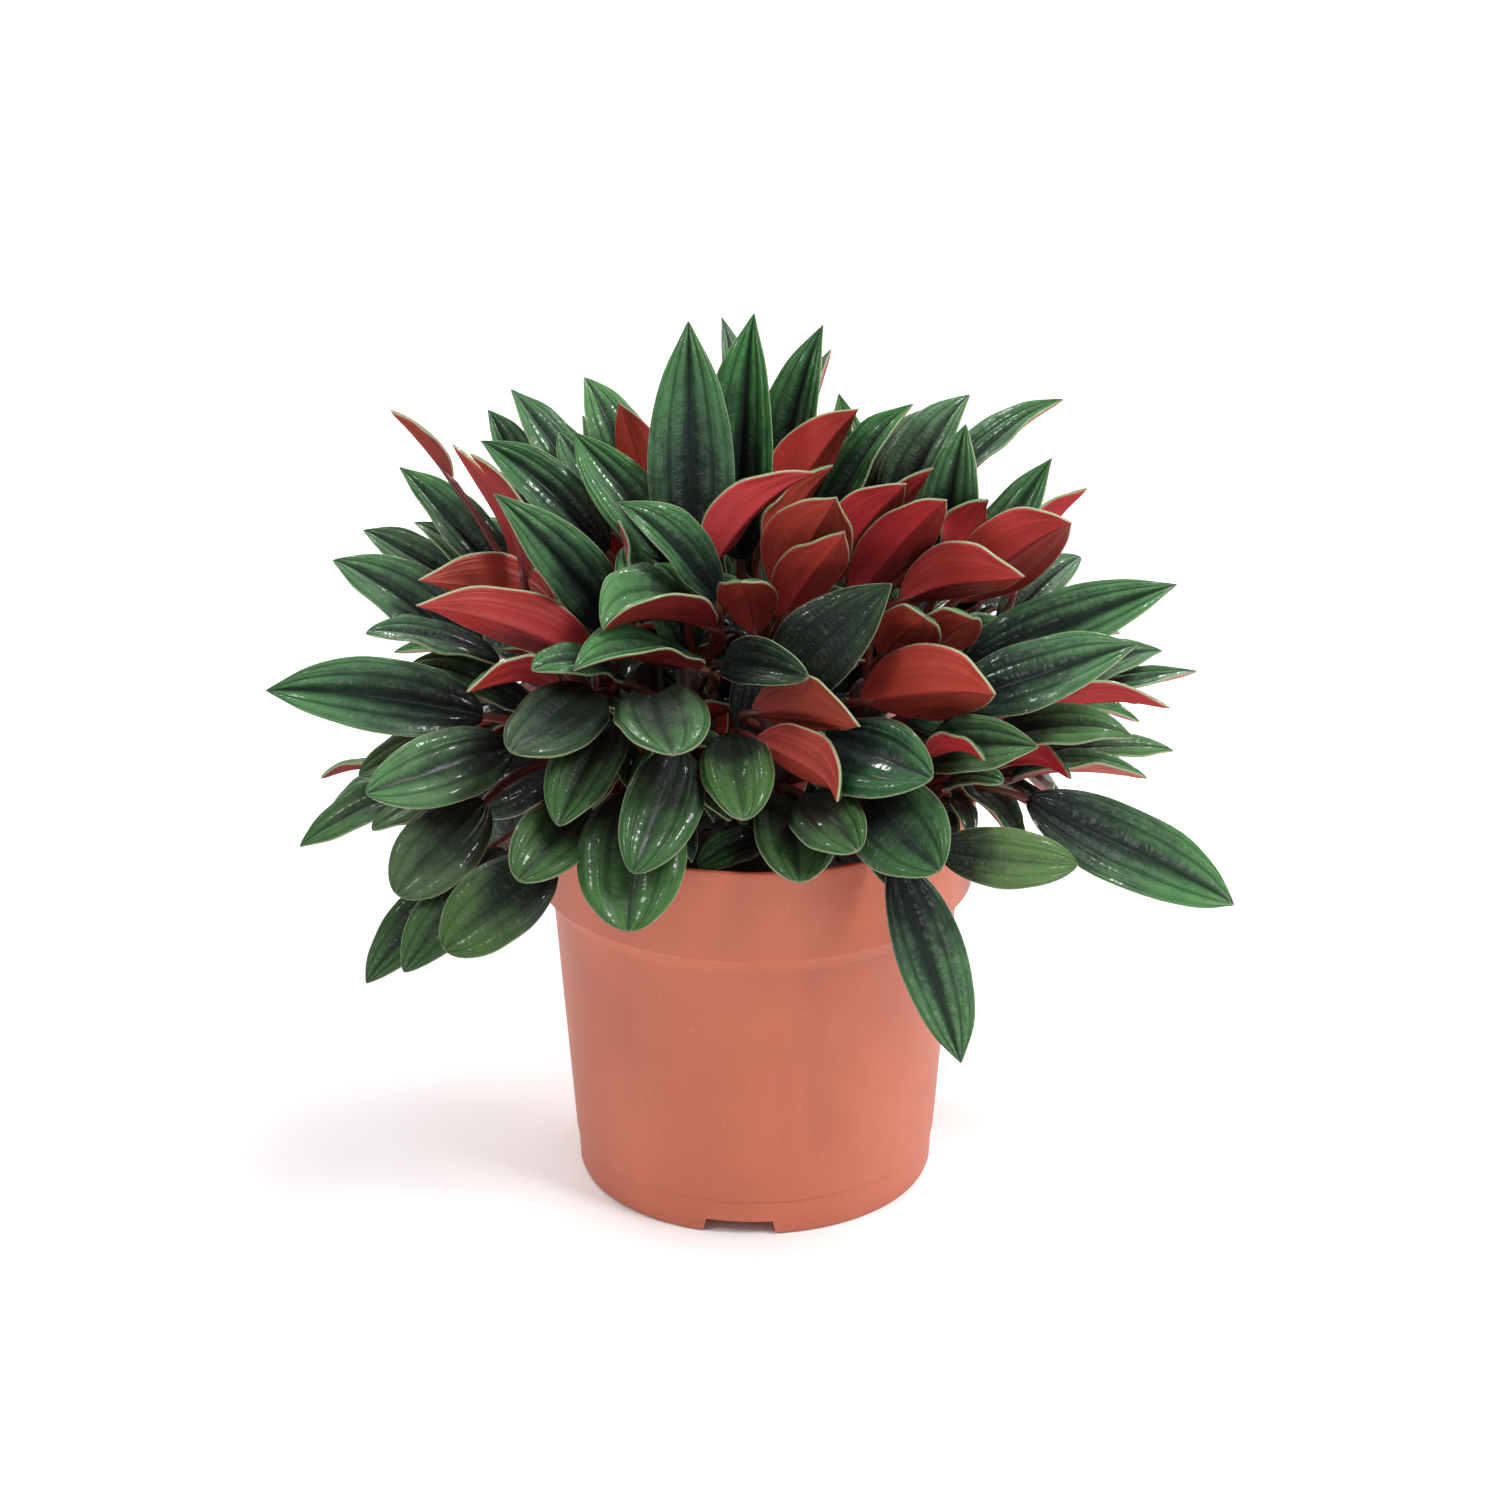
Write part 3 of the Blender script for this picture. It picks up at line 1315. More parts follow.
def fit(piece, kind, **settings):
    """Adds a modifier to a piece and applies it."""
    bpy.context.view_layer.objects.active = piece
    modifier = piece.modifiers.new(kind.lower(), kind)
    for name, value in settings.items():
        setattr(modifier, name, value)
    bpy.ops.object.modifier_apply(modifier=modifier.name)


def points_of(piece):
    """The piece's points as rows of x, y and z."""
    points = np.empty(len(piece.data.vertices) * 3)
    piece.data.vertices.foreach_get("co", points)
    return points.reshape(-1, 3)


def move_points(piece, points):
    piece.data.vertices.foreach_set("co", np.asarray(points, dtype=np.float32).ravel())
    piece.data.update()


def copy_of(piece, name):
    """A copy with its own mesh, in the scene."""
    twin = piece.copy()
    twin.data = piece.data.copy()
    twin.name = name
    bpy.context.collection.objects.link(twin)
    return twin


def join(pieces, name):
    """Makes one named piece of several."""
    start_afresh()
    for piece in pieces:
        piece.select_set(True)
    bpy.context.view_layer.objects.active = pieces[0]
    bpy.ops.object.join()
    joined = bpy.context.object
    joined.name = name
    joined.data.name = name
    return joined


def smooth(piece, degrees=None):
    """Shades a piece smooth, all over or only across edges that bend less than an angle."""
    start_afresh()
    piece.select_set(True)
    bpy.context.view_layer.objects.active = piece
    if degrees is None:
        bpy.ops.object.shade_smooth()
    else:
        bpy.ops.object.shade_smooth_by_angle(angle=math.radians(degrees))


def seat(piece, node):
    """The finished piece stands for a solid, rides with it and takes its finish from the record's slot."""
    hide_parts(node)
    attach(piece, "root")


def dress(piece, *materials, index=None):
    """Gives a piece its materials, and all its faces the material with this index."""
    piece.data.materials.clear()
    for material in materials:
        piece.data.materials.append(material)
    if index is not None:
        for face in piece.data.polygons:
            face.material_index = index


def set_values(piece, name, values):
    """Writes a value for each point of a piece, or one for all, that its materials read by name."""
    attribute = piece.data.attributes.get(name) or piece.data.attributes.new(name, "FLOAT", "POINT")
    attribute.data.foreach_set("value", np.broadcast_to(values, len(piece.data.vertices)).astype(np.float32))


def drop_maps(piece):
    for layer in list(piece.data.uv_layers):
        piece.data.uv_layers.remove(layer)


def set_leaf_map(piece, across, along):
    """Gives a piece the UV map that veins and rims follow."""
    layer = piece.data.uv_layers.get("leaf") or piece.data.uv_layers.new(name="leaf")
    corners = np.empty(len(piece.data.loops), dtype=np.int32)
    piece.data.loops.foreach_get("vertex_index", corners)
    layer.data.foreach_set("uv", np.column_stack((across, along))[corners].astype(np.float32).ravel())


# Leaves

# A leaf's materials
UPPER_FACE, UNDERSIDE, STALK = range(3)


def flat_blade(materials, places, steps):
    """A blade laid out flat: x from -1 to 1 across it, y from 0 to 1 along it and z from -1 to 1 through it."""
    start_afresh()
    lines = len(places) - 1
    bpy.ops.mesh.primitive_grid_add(x_subdivisions=2 * lines, y_subdivisions=steps, size=2)
    blade = bpy.context.object
    drop_maps(blade)
    fit(blade, "SOLIDIFY", thickness=2.0, offset=0.0)
    points = points_of(blade)
    even = (points[:, 1] + 1) / 2
    eased = (1 - np.cos(math.pi * even)) / 2
    points[:, 1] = np.clip((even + eased) / 2, *BLADE_ENDS)
    reach = np.interp(abs(points[:, 0]) * lines, range(lines + 1), places)
    points[:, 0] = np.copysign(reach, points[:, 0])
    move_points(blade, points)
    veins = np.copysign(np.interp(reach, VEIN_PLACES, VEIN_COUNTS), points[:, 0])
    set_leaf_map(blade, veins / MAP_SPAN + 0.5, points[:, 1])
    set_values(blade, "petiole", 0.0)
    dress(blade, *materials)
    for face in blade.data.polygons:
        face.material_index = UNDERSIDE if face.center.z < -0.5 else UPPER_FACE
    return blade


def straight_petiole(materials):
    """A petiole laid out straight: y from -1 at the stem to a little past the blade's foot, round in x and z."""
    petiole = start_ring(PETIOLE_SIDES, 1, location=(0, -1, 0), rotation=(math.pi / 2, 0, 0))
    for _ in range(PETIOLE_STEPS):
        extrude(y=(1 + PETIOLE_END) / PETIOLE_STEPS)
    close_up()
    drop_maps(petiole)
    points = points_of(petiole)
    set_leaf_map(petiole, (points[:, 0] + 1) / 2, points[:, 1])
    set_values(petiole, "petiole", 1.0)
    dress(petiole, *materials, index=STALK)
    return petiole


def leaf_blank(materials, places, steps):
    """A flat blade on a straight petiole, from which leaves are bent."""
    blank = join([flat_blade(materials, places, steps), straight_petiole(materials)], "leaf_blank")
    smooth(blank)
    return blank


def shows_back(leaf):
    """Whether the eye sees the leaf's red underside."""
    return leaf.turn is not None and leaf.turn >= SHOWS_BACK


def outline(leaf, share):
    """Half the blade's width along it; a leaf that shows its red back is young and has a long point."""
    inside = np.clip(share, 0, 1)
    if not shows_back(leaf) and "tip" not in leaf.shape:
        drawn_out = 1 - DRAWN_OUT * (1 - flatness(leaf)) * np.exp(-(((1 - inside) / DRAWN_OUT_LENGTH) ** 2))
        return leaf.half_width(inside) * drawn_out
    base = leaf.shape.get("base", BACK_BASE_FULLNESS)
    tip = leaf.shape.get("tip", BACK_TIP_FULLNESS)
    widest = base / (base + tip)
    full = widest**base * (1 - widest) ** tip
    return leaf.shape.get("width", leaf.width) / 2 * inside**base * (1 - inside) ** tip / full


def flatness(leaf):
    """0 for a folded young leaf, 1 for a flat old one, which is broad too."""
    if "flat" in leaf.shape:
        return leaf.shape["flat"]
    if leaf.turn is None or shows_back(leaf):
        return leaf.age
    breadth = leaf.width / np.linalg.norm(leaf.foot - leaf.tip)
    return max(leaf.age, min(1.0, max(0.0, (breadth - SLENDER) / (BROAD - SLENDER))) * BROAD_FLATNESS)


def fold_of(leaf, look, draw):
    """Rise of each half of the blade; less where the blade points at the viewer, or its halves would hide the tip."""
    fold = look.fold * (FOLD_LEAST + FOLD_SCATTER * draw()) * (1 - FLAT_FOLD_LOSS * flatness(leaf))
    fold *= leaf.shape.get("fold", 1.0)
    if not shows_back(leaf):
        return fold
    (across, up, _), (foot_across, foot_up, _) = seen_places(leaf.tip), seen_places(leaf.foot)
    seen_share = math.hypot(across - foot_across, up - foot_up) / np.linalg.norm(leaf.tip - leaf.foot)
    return fold * min(BACK_FOLD, max(BACK_FOLD_LEAST, BACK_FOLD_SLOPE * seen_share - BACK_FOLD_OFFSET))


def line_with_sway(leaf, place, sway):
    """The leaf's frames, swayed sideways and bent near the tip so that no two leaves run quite alike."""
    centre, normal, side = leaf.frames(place)
    along = np.clip(place, 0, 1)
    length = np.linalg.norm(leaf.tip - leaf.foot)
    aside = sway[0] * SWAY * length * np.sin(math.pi * along)
    lift = sway[1] * SWAY * length * np.sin(math.tau * along) + sway[2] * HOOK * length * along**6
    return centre + side * aside[:, None] + normal * lift[:, None], normal, side


def blade_points(leaf, look, flat, sway, draw):
    """The flat blade's points bent, folded, cupped, ribbed and waved into the leaf's blade."""
    across, share, through = flat.T
    start = leaf.shape.get("start", 0.0)
    centre, normal, side = line_with_sway(leaf, start + (1 - start) * share, sway)
    twist = (look.twist * (2 * draw() - 1) * share)[:, None]
    normal, side = normal * np.cos(twist) + side * np.sin(twist), side * np.cos(twist) - normal * np.sin(twist)
    reach = abs(across)
    half = outline(leaf, share) * (1 + UNEVENNESS * (draw() - 0.5) * across)
    old = flatness(leaf)
    keel = np.sqrt(reach**2 + KEEL_ROUNDING**2) - KEEL_ROUNDING
    fold = fold_of(leaf, look, draw) * (FOLD_AT_FOOT + FOLD_GAIN * share**2)
    droop = (RIM_DROOP + OLD_RIM_DROOP * old) * np.clip((reach - DROOP_STARTS) / DROOP_SPAN, 0, 1) ** 2
    cup = fold * keel + (look.cup + OLD_CUP * old) * reach**2 - droop
    ends = np.minimum(1, half / RIB_FADE_WIDTH)
    rib = abs(np.sin(math.pi * np.interp(reach, VEIN_PLACES, VEIN_COUNTS)))
    rib_height = look.rib_height / MM * (1 - OLD_RIB_LOSS * old)
    outer = np.where(reach > OUTER_RIBS, OUTER_RIB_SHARE, 1)
    relief = rib_height * rib * ends * outer * np.where(through > 0, 1, UNDERSIDE_RIB_SHARE)
    phase, other = draw(), draw()
    long_wave = np.sin(math.tau * (LONG_WAVES * share + phase))
    short_wave = SHORT_WAVE_SHARE * np.sin(math.tau * (SHORT_WAVES * share + other)) * np.sign(across)
    wave_height = look.rim_wave / MM * reach**3 * (long_wave + short_wave)
    wave = wave_height * np.sin(math.pi * share) * np.minimum(1, half / WAVE_FADE_WIDTH)
    taper = np.minimum(1, (1 - share) / TIP_LENGTH)
    thick = look.blade_thickness / MM / 2 * (1 - RIM_THINNING * reach**6)
    thick *= TIP_THICKNESS + (1 - TIP_THICKNESS) * taper
    midrib = MIDRIB_HEIGHT * np.exp(-((across / MIDRIB_WIDTH) ** 2)) * (1 - share) * (through < 0)
    lift = cup * half + relief + wave + through * (thick + midrib)
    return centre + side * (across * half)[:, None] + normal * lift[:, None]


def petiole_points(leaf, look, flat, sway):
    """The straight petiole's points bent from the stem to a little under the blade's foot, hollow above."""
    x, share, z = flat.T
    start = leaf.shape.get("start", 0.0)
    centre, normal, side = line_with_sway(leaf, start + np.where(share < 0, share * (1 + start), share), sway)
    slim = min(1.0, SLIMMEST_PETIOLE + leaf.width / FULL_PETIOLE_WIDTH)
    thick = look.petiole_width / MM / 2 * slim
    radius = thick * np.interp(share, PETIOLE_PLACES, PETIOLE_GIRTHS)
    sunk = np.interp(share, (PETIOLE_SINKS, PETIOLE_END), (0, PETIOLE_DEPTH))
    hollow = np.where(z > 0, PETIOLE_HOLLOW, 1.0)
    lift = z * radius * hollow - sunk
    return centre + side * (x * radius)[:, None] + normal * lift[:, None]


def kept_inside(points, share):
    """Draws a blade's outer part back where its tip would stand out of the solids' box."""
    low, high = np.array(SOLIDS_LOW) + BOX_MARGIN * MM, np.array(SOLIDS_HIGH) - BOX_MARGIN * MM
    beyond = np.maximum(points - high, 0).max(axis=0) - np.maximum(low - points, 0).max(axis=0)
    return points - beyond * share[:, None]


def grown_leaf(blank, leaf, look, draw):
    """A copy of the blank bent into one leaf of the plant."""
    piece = copy_of(blank, "leaf")
    flat = points_of(piece)
    stalk = np.empty(len(flat), dtype=np.float32)
    piece.data.attributes["petiole"].data.foreach_get("value", stalk)
    on_stalk = stalk > 0.5
    points = np.empty_like(flat)
    sway = [2 * draw() - 1 for _ in range(3)]
    points[~on_stalk] = blade_points(leaf, look, flat[~on_stalk], sway, draw)
    points[on_stalk] = petiole_points(leaf, look, flat[on_stalk], sway)
    share = np.clip(flat[:, 1], 0, 1)
    move_points(piece, kept_inside(points * MM, share))
    length = np.linalg.norm(leaf.tip - leaf.foot)
    to_rim = (1 - abs(flat[:, 0])) * outline(leaf, share)
    set_values(piece, "edge", np.minimum(to_rim, (1 - share) * length * TIP_RIM_SHARE))
    set_values(piece, "tint", leaf.shape.get("tint", draw()))
    set_values(piece, "age", leaf.age)
    set_values(piece, "gloom", leaf.darkness + DARKNESS_SCATTER * draw())
    frosted = leaf.turn is not None
    frost = FROST.get(leaf.crown, 0.0) * (FROST_LEAST + FROST_SCATTER * draw()) if frosted else 0.0
    set_values(piece, "frost", frost)
    return piece


def stem(crown, materials):
    """One crown's stem: a tapered round with leaf scars, leaning from the soil to the hub and domed on top."""
    low = np.array((*CROWNS[crown]["root"], SOIL_TOP - STEM_DEPTH))
    hub = np.array(CROWNS[crown]["hub"], dtype=float)
    piece = start_ring(STEM_SIDES, STEM_GIRTH)
    for step in range(STEM_STEPS):
        extrude(z=(hub[2] - low[2]) / STEM_STEPS, widen=STEM_GROWTH * STEM_SCARS[step % len(STEM_SCARS)])
    for height, share in STEM_DOME:
        extrude(z=height, widen=share)
    close_up()
    drop_maps(piece)
    points = points_of(piece)
    share = points[:, 2] / (hub[2] - low[2])
    points[:, :2] += low[:2] + (hub - low)[:2] * share[:, None]
    points[:, 2] += low[2]
    move_points(piece, points * MM)
    dress(piece, *materials, index=STALK)
    set_leaf_map(piece, np.full(len(points), 0.5), np.full(len(points), 0.5))
    for name, value in (("petiole", 1.0), ("edge", 9.0), ("tint", 0.5), ("age", 0.5), ("gloom", 1.0), ("frost", 0.0)):
        set_values(piece, name, value)
    smooth(piece)
    return piece


# Pot and soil

def pot_outline(size):
    """Radius and height of each ring that the pot is drawn up through, out and up, then in and down.

    The small steps between them round its edges.
    """
    shoulder = size.height - size.collar_height - size.collar_slope
    foot = size.height - size.collar_height
    band = size.base_radius + (size.body_radius - size.base_radius) * size.band_height / shoulder
    draft, wall, top = size.collar_draft, size.wall, size.height
    return [
        (size.base_radius - 1.5 * MM, 0.0),
        (size.base_radius - 0.5 * MM, 0.35 * MM),
        (size.base_radius, 1.5 * MM),
        (band - 0.45 * MM, size.band_height - 0.5 * MM),
        (band - 0.1 * MM, size.band_height - 0.3 * MM),
        (band, size.band_height + 0.1 * MM),
        (size.body_radius - 0.1 * MM, shoulder - 0.8 * MM),
        (size.body_radius + 0.2 * MM, shoulder + 0.1 * MM),
        (size.collar_radius - draft - 0.7 * MM, foot - 0.5 * MM),
        (size.collar_radius - draft, foot + 0.3 * MM),
        (size.collar_radius - 0.02 * MM, top - 1.6 * MM),
        (size.collar_radius, top - 0.8 * MM),
        (size.collar_radius - 0.15 * MM, top - 0.25 * MM),
        (size.collar_radius - 0.55 * MM, top),
        (size.collar_radius - wall + 0.45 * MM, top),
        (size.collar_radius - wall + 0.1 * MM, top - 0.25 * MM),
        (size.collar_radius - wall, top - 0.9 * MM),
        (size.collar_radius - wall - draft, foot + 0.8 * MM),
        (size.body_radius - wall, shoulder + 0.8 * MM),
        (size.base_radius - wall + 0.4 * MM, size.floor),
    ]


def drain_cutters(size):
    """The three channels and six holes that are cut out of the pot's underside, as one piece."""
    cutters = []
    for index in range(CHANNELS):
        heading = size.first_channel + math.tau / CHANNELS * index
        start_afresh()
        middle = (size.channel_start + size.collar_radius) / 2
        foot = size.channel_width + (size.channel_width - size.channel_roof) * BELOW_POT / size.channel_height
        bpy.ops.mesh.primitive_cube_add(size=1, location=(middle, 0, (size.channel_height - BELOW_POT) / 2))
        channel = bpy.context.object
        channel.scale = (size.collar_radius - size.channel_start, foot, size.channel_height + BELOW_POT)
        settle_place()
        bpy.ops.object.mode_set(mode="EDIT")
        bpy.ops.mesh.select_mode(type="FACE")
        bpy.ops.mesh.select_all(action="DESELECT")
        leave_edit()
        for face in channel.data.polygons:
            face.select = face.normal.z > FACES_UP
        bpy.ops.object.mode_set(mode="EDIT")
        bpy.ops.transform.resize(value=(1, size.channel_roof / foot, 1))
        leave_edit()
        channel.rotation_euler = (0, 0, heading)
        cutters.append(settle_place())
        for turn in (heading, heading + math.pi / CHANNELS):
            place = (size.hole_distance * math.cos(turn), size.hole_distance * math.sin(turn), HOLE_MIDDLE)
            start_afresh()
            bpy.ops.mesh.primitive_cylinder_add(
                vertices=HOLE_SIDES, radius=size.hole_radius, depth=HOLE_DEPTH, location=place
            )
            cutters.append(settle_place())
    return cutters


def moulded_pot(size):
    """The pot, drawn up from its foot and back down inside, with its drains cut out."""
    outline = pot_outline(size)
    pot = start_ring(POT_SIDES, outline[0][0])
    draw_up(outline)
    close_up()
    for cutter in drain_cutters(size):
        start_afresh()
        fit(pot, "BOOLEAN", operation="DIFFERENCE", solver="EXACT", object=cutter)
        bpy.data.objects.remove(cutter, do_unlink=True)
    return pot


def soil_outline(pot):
    """Radius and height of each ring of the soil's side, a hair clear of the pot's wall all the way up."""
    shoulder = pot.height - pot.collar_height - pot.collar_slope
    foot = pot.height - pot.collar_height
    inside = -pot.wall - SOIL_GAP
    return [
        (pot.base_radius + inside, pot.floor + 0.3 * MM),
        (pot.body_radius + inside, shoulder + 1.4 * MM),
        (pot.collar_radius - pot.collar_draft + inside, foot + 1.6 * MM),
        (pot.collar_radius + inside, SOIL_TOP * MM),
    ]


def soil_bed(size, outline):
    """A closed bed drawn up from the pot's floor, ringed on top and roughened into clods."""
    edge, top = outline[-1]
    radius, bottom = outline[0]
    bed = start_ring(SOIL_SIDES, radius, location=(0, 0, bottom))
    draw_up(outline)
    for _ in range(size.rings):
        bpy.ops.mesh.inset(thickness=edge / (size.rings + RIM_MARGIN))
    close_up()
    points = points_of(bed)
    for index, (x, y, z) in enumerate(points):
        if z > top - BED_TOP:
            out = math.hypot(x, y) / edge
            place = Vector((x, y, 0.0))
            rough = sum(noise.noise(place * scale) * height for scale, height in CLODS)
            calm = min(1.0, (1 - out) * CALM_RIM)
            points[index, 2] += size.crown * (1 - out**2) + size.roughness * rough * calm
    move_points(bed, points)
    return bed


def crumbs(size, edge, top):
    """Loose crumbs of peat, copied from one and sunk part-way into the bed."""
    start_afresh()
    bpy.ops.mesh.primitive_ico_sphere_add(subdivisions=1, radius=1)
    crumb = bpy.context.object
    drop_maps(crumb)
    shape = points_of(crumb)
    draw = seeded(TIER_SEED)
    pieces = []
    for _ in range(size.crumbs):
        heading, out = draw() * math.tau, math.sqrt(draw()) * (edge - CRUMB_MARGIN)
        x, y = math.cos(heading) * out, math.sin(heading) * out
        height = top + size.crown * (1 - (out / edge) ** 2)
        widths = np.array([CRUMB_NARROWEST + draw() for _ in range(3)])
        squash = widths * (CRUMB_LEAST + CRUMB_GROWTH * draw() ** 3) * MM
        twin = copy_of(crumb, "crumb")
        turned = Matrix.Rotation(draw() * math.tau, 3, Vector((draw(), draw(), 1)).normalized())
        bumpy = shape * (1 + CRUMB_BUMPS * np.sin(shape[:, [1, 2, 0]] * CRUMB_BUMP_WAVES + heading))
        move_points(twin, (bumpy * squash) @ np.array(turned) + (x, y, height))
        pieces.append(twin)
    bpy.data.objects.remove(crumb, do_unlink=True)
    return pieces


# Settings that a user would change

def colour(name, description, value):
    return FloatVectorProperty(name=name, description=description, default=value, subtype="COLOR", min=0, max=1)


def length(name, description, value):
    return FloatProperty(name=name, description=description, default=value, unit="LENGTH", subtype="DISTANCE")


def power(name, description, value):
    return FloatProperty(name=name, description=description, default=value, unit="POWER")


def angle(name, description, degrees):
    return FloatProperty(name=name, description=description, default=math.radians(degrees), subtype="ANGLE")


def factor(name, description, value):
    return FloatProperty(name=name, description=description, default=value, subtype="FACTOR", min=0, max=1)


class PotSettings(bpy.types.PropertyGroup):
    """Sizes and colours of the pot."""

    height: length("Height", "Height of the pot", POT_HIGH[2])
    collar_radius: length("Collar radius", "Outside radius at the rim", POT_HIGH[0])
    collar_height: length("Collar height", "Height of the collar", 25.7 * MM)
    collar_slope: length("Collar slope", "Height of the slanted step under the collar", 4.5 * MM)
    collar_draft: length("Collar draft", "How much narrower the collar is at its foot", 0.7 * MM)
    body_radius: length("Body radius", "Outside radius just under the collar", 55.2 * MM)
    base_radius: length("Base radius", "Outside radius at the foot", 48.9 * MM)
    band_height: length("Foot band", "Height of the band round the foot", 10.8 * MM)
    wall: length("Wall", "Thickness of the wall", 1.6 * MM)
    floor: length("Floor", "Height of the floor inside", 5.6 * MM)
    channel_width: length("Channel width", "Width of a drain channel", 20 * MM)
    channel_roof: length("Channel roof", "Width of a drain channel's roof", 18 * MM)
    channel_height: length("Channel height", "Height of a drain channel", 4.2 * MM)
    channel_start: length("Channel start", "How far from the middle a drain channel starts", 28 * MM)
    first_channel: angle("First channel", "Heading of the first drain channel", -95)
    hole_radius: length("Hole radius", "Radius of a drain hole", 3.5 * MM)
    hole_distance: length("Hole distance", "How far a drain hole is from the middle", 37 * MM)
    colour: colour("Terracotta", "Colour of the plastic", (0.465, 0.112, 0.056))
    light_colour: colour("Pale terracotta", "Colour of its lighter clouds", (0.55, 0.143, 0.073))
    deep_colour: colour("Deep terracotta", "Colour of its darker streaks", (0.4, 0.09, 0.055))
    dust_colour: colour("Dust", "Colour of dust in the grain", (0.62, 0.42, 0.33))


class SoilSettings(bpy.types.PropertyGroup):
    """Shape and colours of the potting soil."""

    crown: length("Crown", "How much higher the soil is in the middle", SOIL_CROWN * MM)
    roughness: length("Roughness", "How far clods stand up and dip", 1.5 * MM)
    rings: IntProperty(name="Rings", description="Rings of faces on top of the soil", default=26, min=4)
    crumbs: IntProperty(name="Crumbs", description="How many loose crumbs lie on the soil", default=260, min=0)
    dark_peat: colour("Dark peat", "Colour of wet peat", (0.006, 0.0045, 0.004))
    peat: colour("Peat", "Colour of drier peat", (0.028, 0.018, 0.012))
    fibre: colour("Fibre", "Colour of fibres", (0.075, 0.048, 0.03))


class LeafSettings(bpy.types.PropertyGroup):
    """Relief and colours of the leaves."""

    blade_thickness: length("Blade thickness", "Thickness of a blade", 1.2 * MM)
    petiole_width: length("Petiole width", "Thickness of a grown leaf's petiole", 2.7 * MM)
    rib_height: length("Rib height", "How high the blade swells between its long veins", 1.15 * MM)
    fold: factor("Fold", "Rise of each half of a blade from its keel, as a share of its width", 0.5)
    cup: factor("Cup", "Further rise of the rims, as a share of the width", 0.12)
    twist: angle("Twist", "Most that a blade turns along its length", 14)
    rim_wave: length("Rim wave", "How far the rim waves up and down", 0.7 * MM)
    pucker: length("Pucker", "Height of the fine wrinkles between veins", 0.6 * MM)
    rib_colour: colour("Rib green", "Green of the ribs", (0.021, 0.08, 0.027))
    tip_colour: colour("Tip green", "Brighter green near tips and rims", (0.068, 0.245, 0.05))
    fresh_colour: colour("Fresh green", "Green of the freshest leaves", (0.028, 0.135, 0.042))
    old_colour: colour("Olive green", "Green of old low leaves", (0.085, 0.135, 0.024))
    vein_colour: colour("Vein", "Near black of the veins and the blade's foot", (0.0065, 0.011, 0.0105))
    old_vein_colour: colour("Old vein", "Colour of veins on old leaves", (0.013, 0.028, 0.008))
    rim_colour: colour("Rim", "Pale green of the blade's rim", (0.33, 0.37, 0.22))
    frost_colour: colour("Frost", "Silvery green of frosted back leaves", (0.19, 0.29, 0.19))
    crimson: colour("Crimson", "Red of the underside", (0.47, 0.031, 0.037))
    brick: colour("Brick red", "Oranger red of some undersides", (0.46, 0.065, 0.04))
    dull_red: colour("Dull red", "Browner red of the darker half of an underside", (0.13, 0.022, 0.012))
    deep_red: colour("Deep red", "Red in creases and near the blade's foot", (0.12, 0.011, 0.012))
    old_underside: colour("Old underside", "Underside of old low leaves", (0.3, 0.075, 0.045))
    cream: colour("Cream rim", "Rim of the underside", (0.42, 0.27, 0.17))
    stalk_red: colour("Stalk red", "Red of petioles and stems", (0.13, 0.016, 0.012))
    stem_colour: colour("Stem", "Dark red brown of the shaded stems", (0.02, 0.006, 0.005))
    stalk_green: colour("Stalk green", "Green patches on petioles and stems", (0.1, 0.09, 0.03))


class StageSettings(bpy.types.PropertyGroup):
    """Floor, lights and camera."""

    floor_colour: colour("Floor", "Colour of the floor", (0.9, 0.9, 0.9))
    floor_shade: colour("Floor shade", "Slightly darker floor", (0.86, 0.86, 0.87))
    key_power: power("Key light", "Power of the main softbox", 20)
    fill_power: power("Fill light", "Power of the side softbox", 5)
    back_power: power("Back lights", "Power of each softbox behind", 7)
    floor_power: power("Floor light", "Power of the light on the far floor", 30)
    sky: FloatProperty(name="Surround", description="Strength of the light all round", default=0.52)
    focal_length: FloatProperty(name="Focal length", description="Of the lens, in mm", default=96.3, unit="CAMERA")


# Operators

class PEPEROMIA_OT_pot(bpy.types.Operator):
    """Build the moulded nursery pot with its collar, foot band, drain channels and holes"""

    bl_idname = "peperomia.pot"
    bl_label = "Nursery Pot"

    def execute(self, context):
        size = context.scene.peperomia_pot
        pot = moulded_pot(size)
        pot.name = "nursery_pot"
        dress(pot, pot_material(size))
        smooth(pot, POT_SHARP_EDGE)
        seat(pot, "pot")
        return {"FINISHED"}


class PEPEROMIA_OT_soil(bpy.types.Operator):
    """Build the potting soil with its clods and crumbs"""

    bl_idname = "peperomia.soil"
    bl_label = "Potting Soil"

    def execute(self, context):
        size = context.scene.peperomia_soil
        outline = soil_outline(context.scene.peperomia_pot)
        bed = join([soil_bed(size, outline), *crumbs(size, *outline[-1])], "potting_soil")
        dress(bed, soil_material(size))
        smooth(bed, SOIL_SHARP_EDGE)
        seat(bed, "soil")
        return {"FINISHED"}


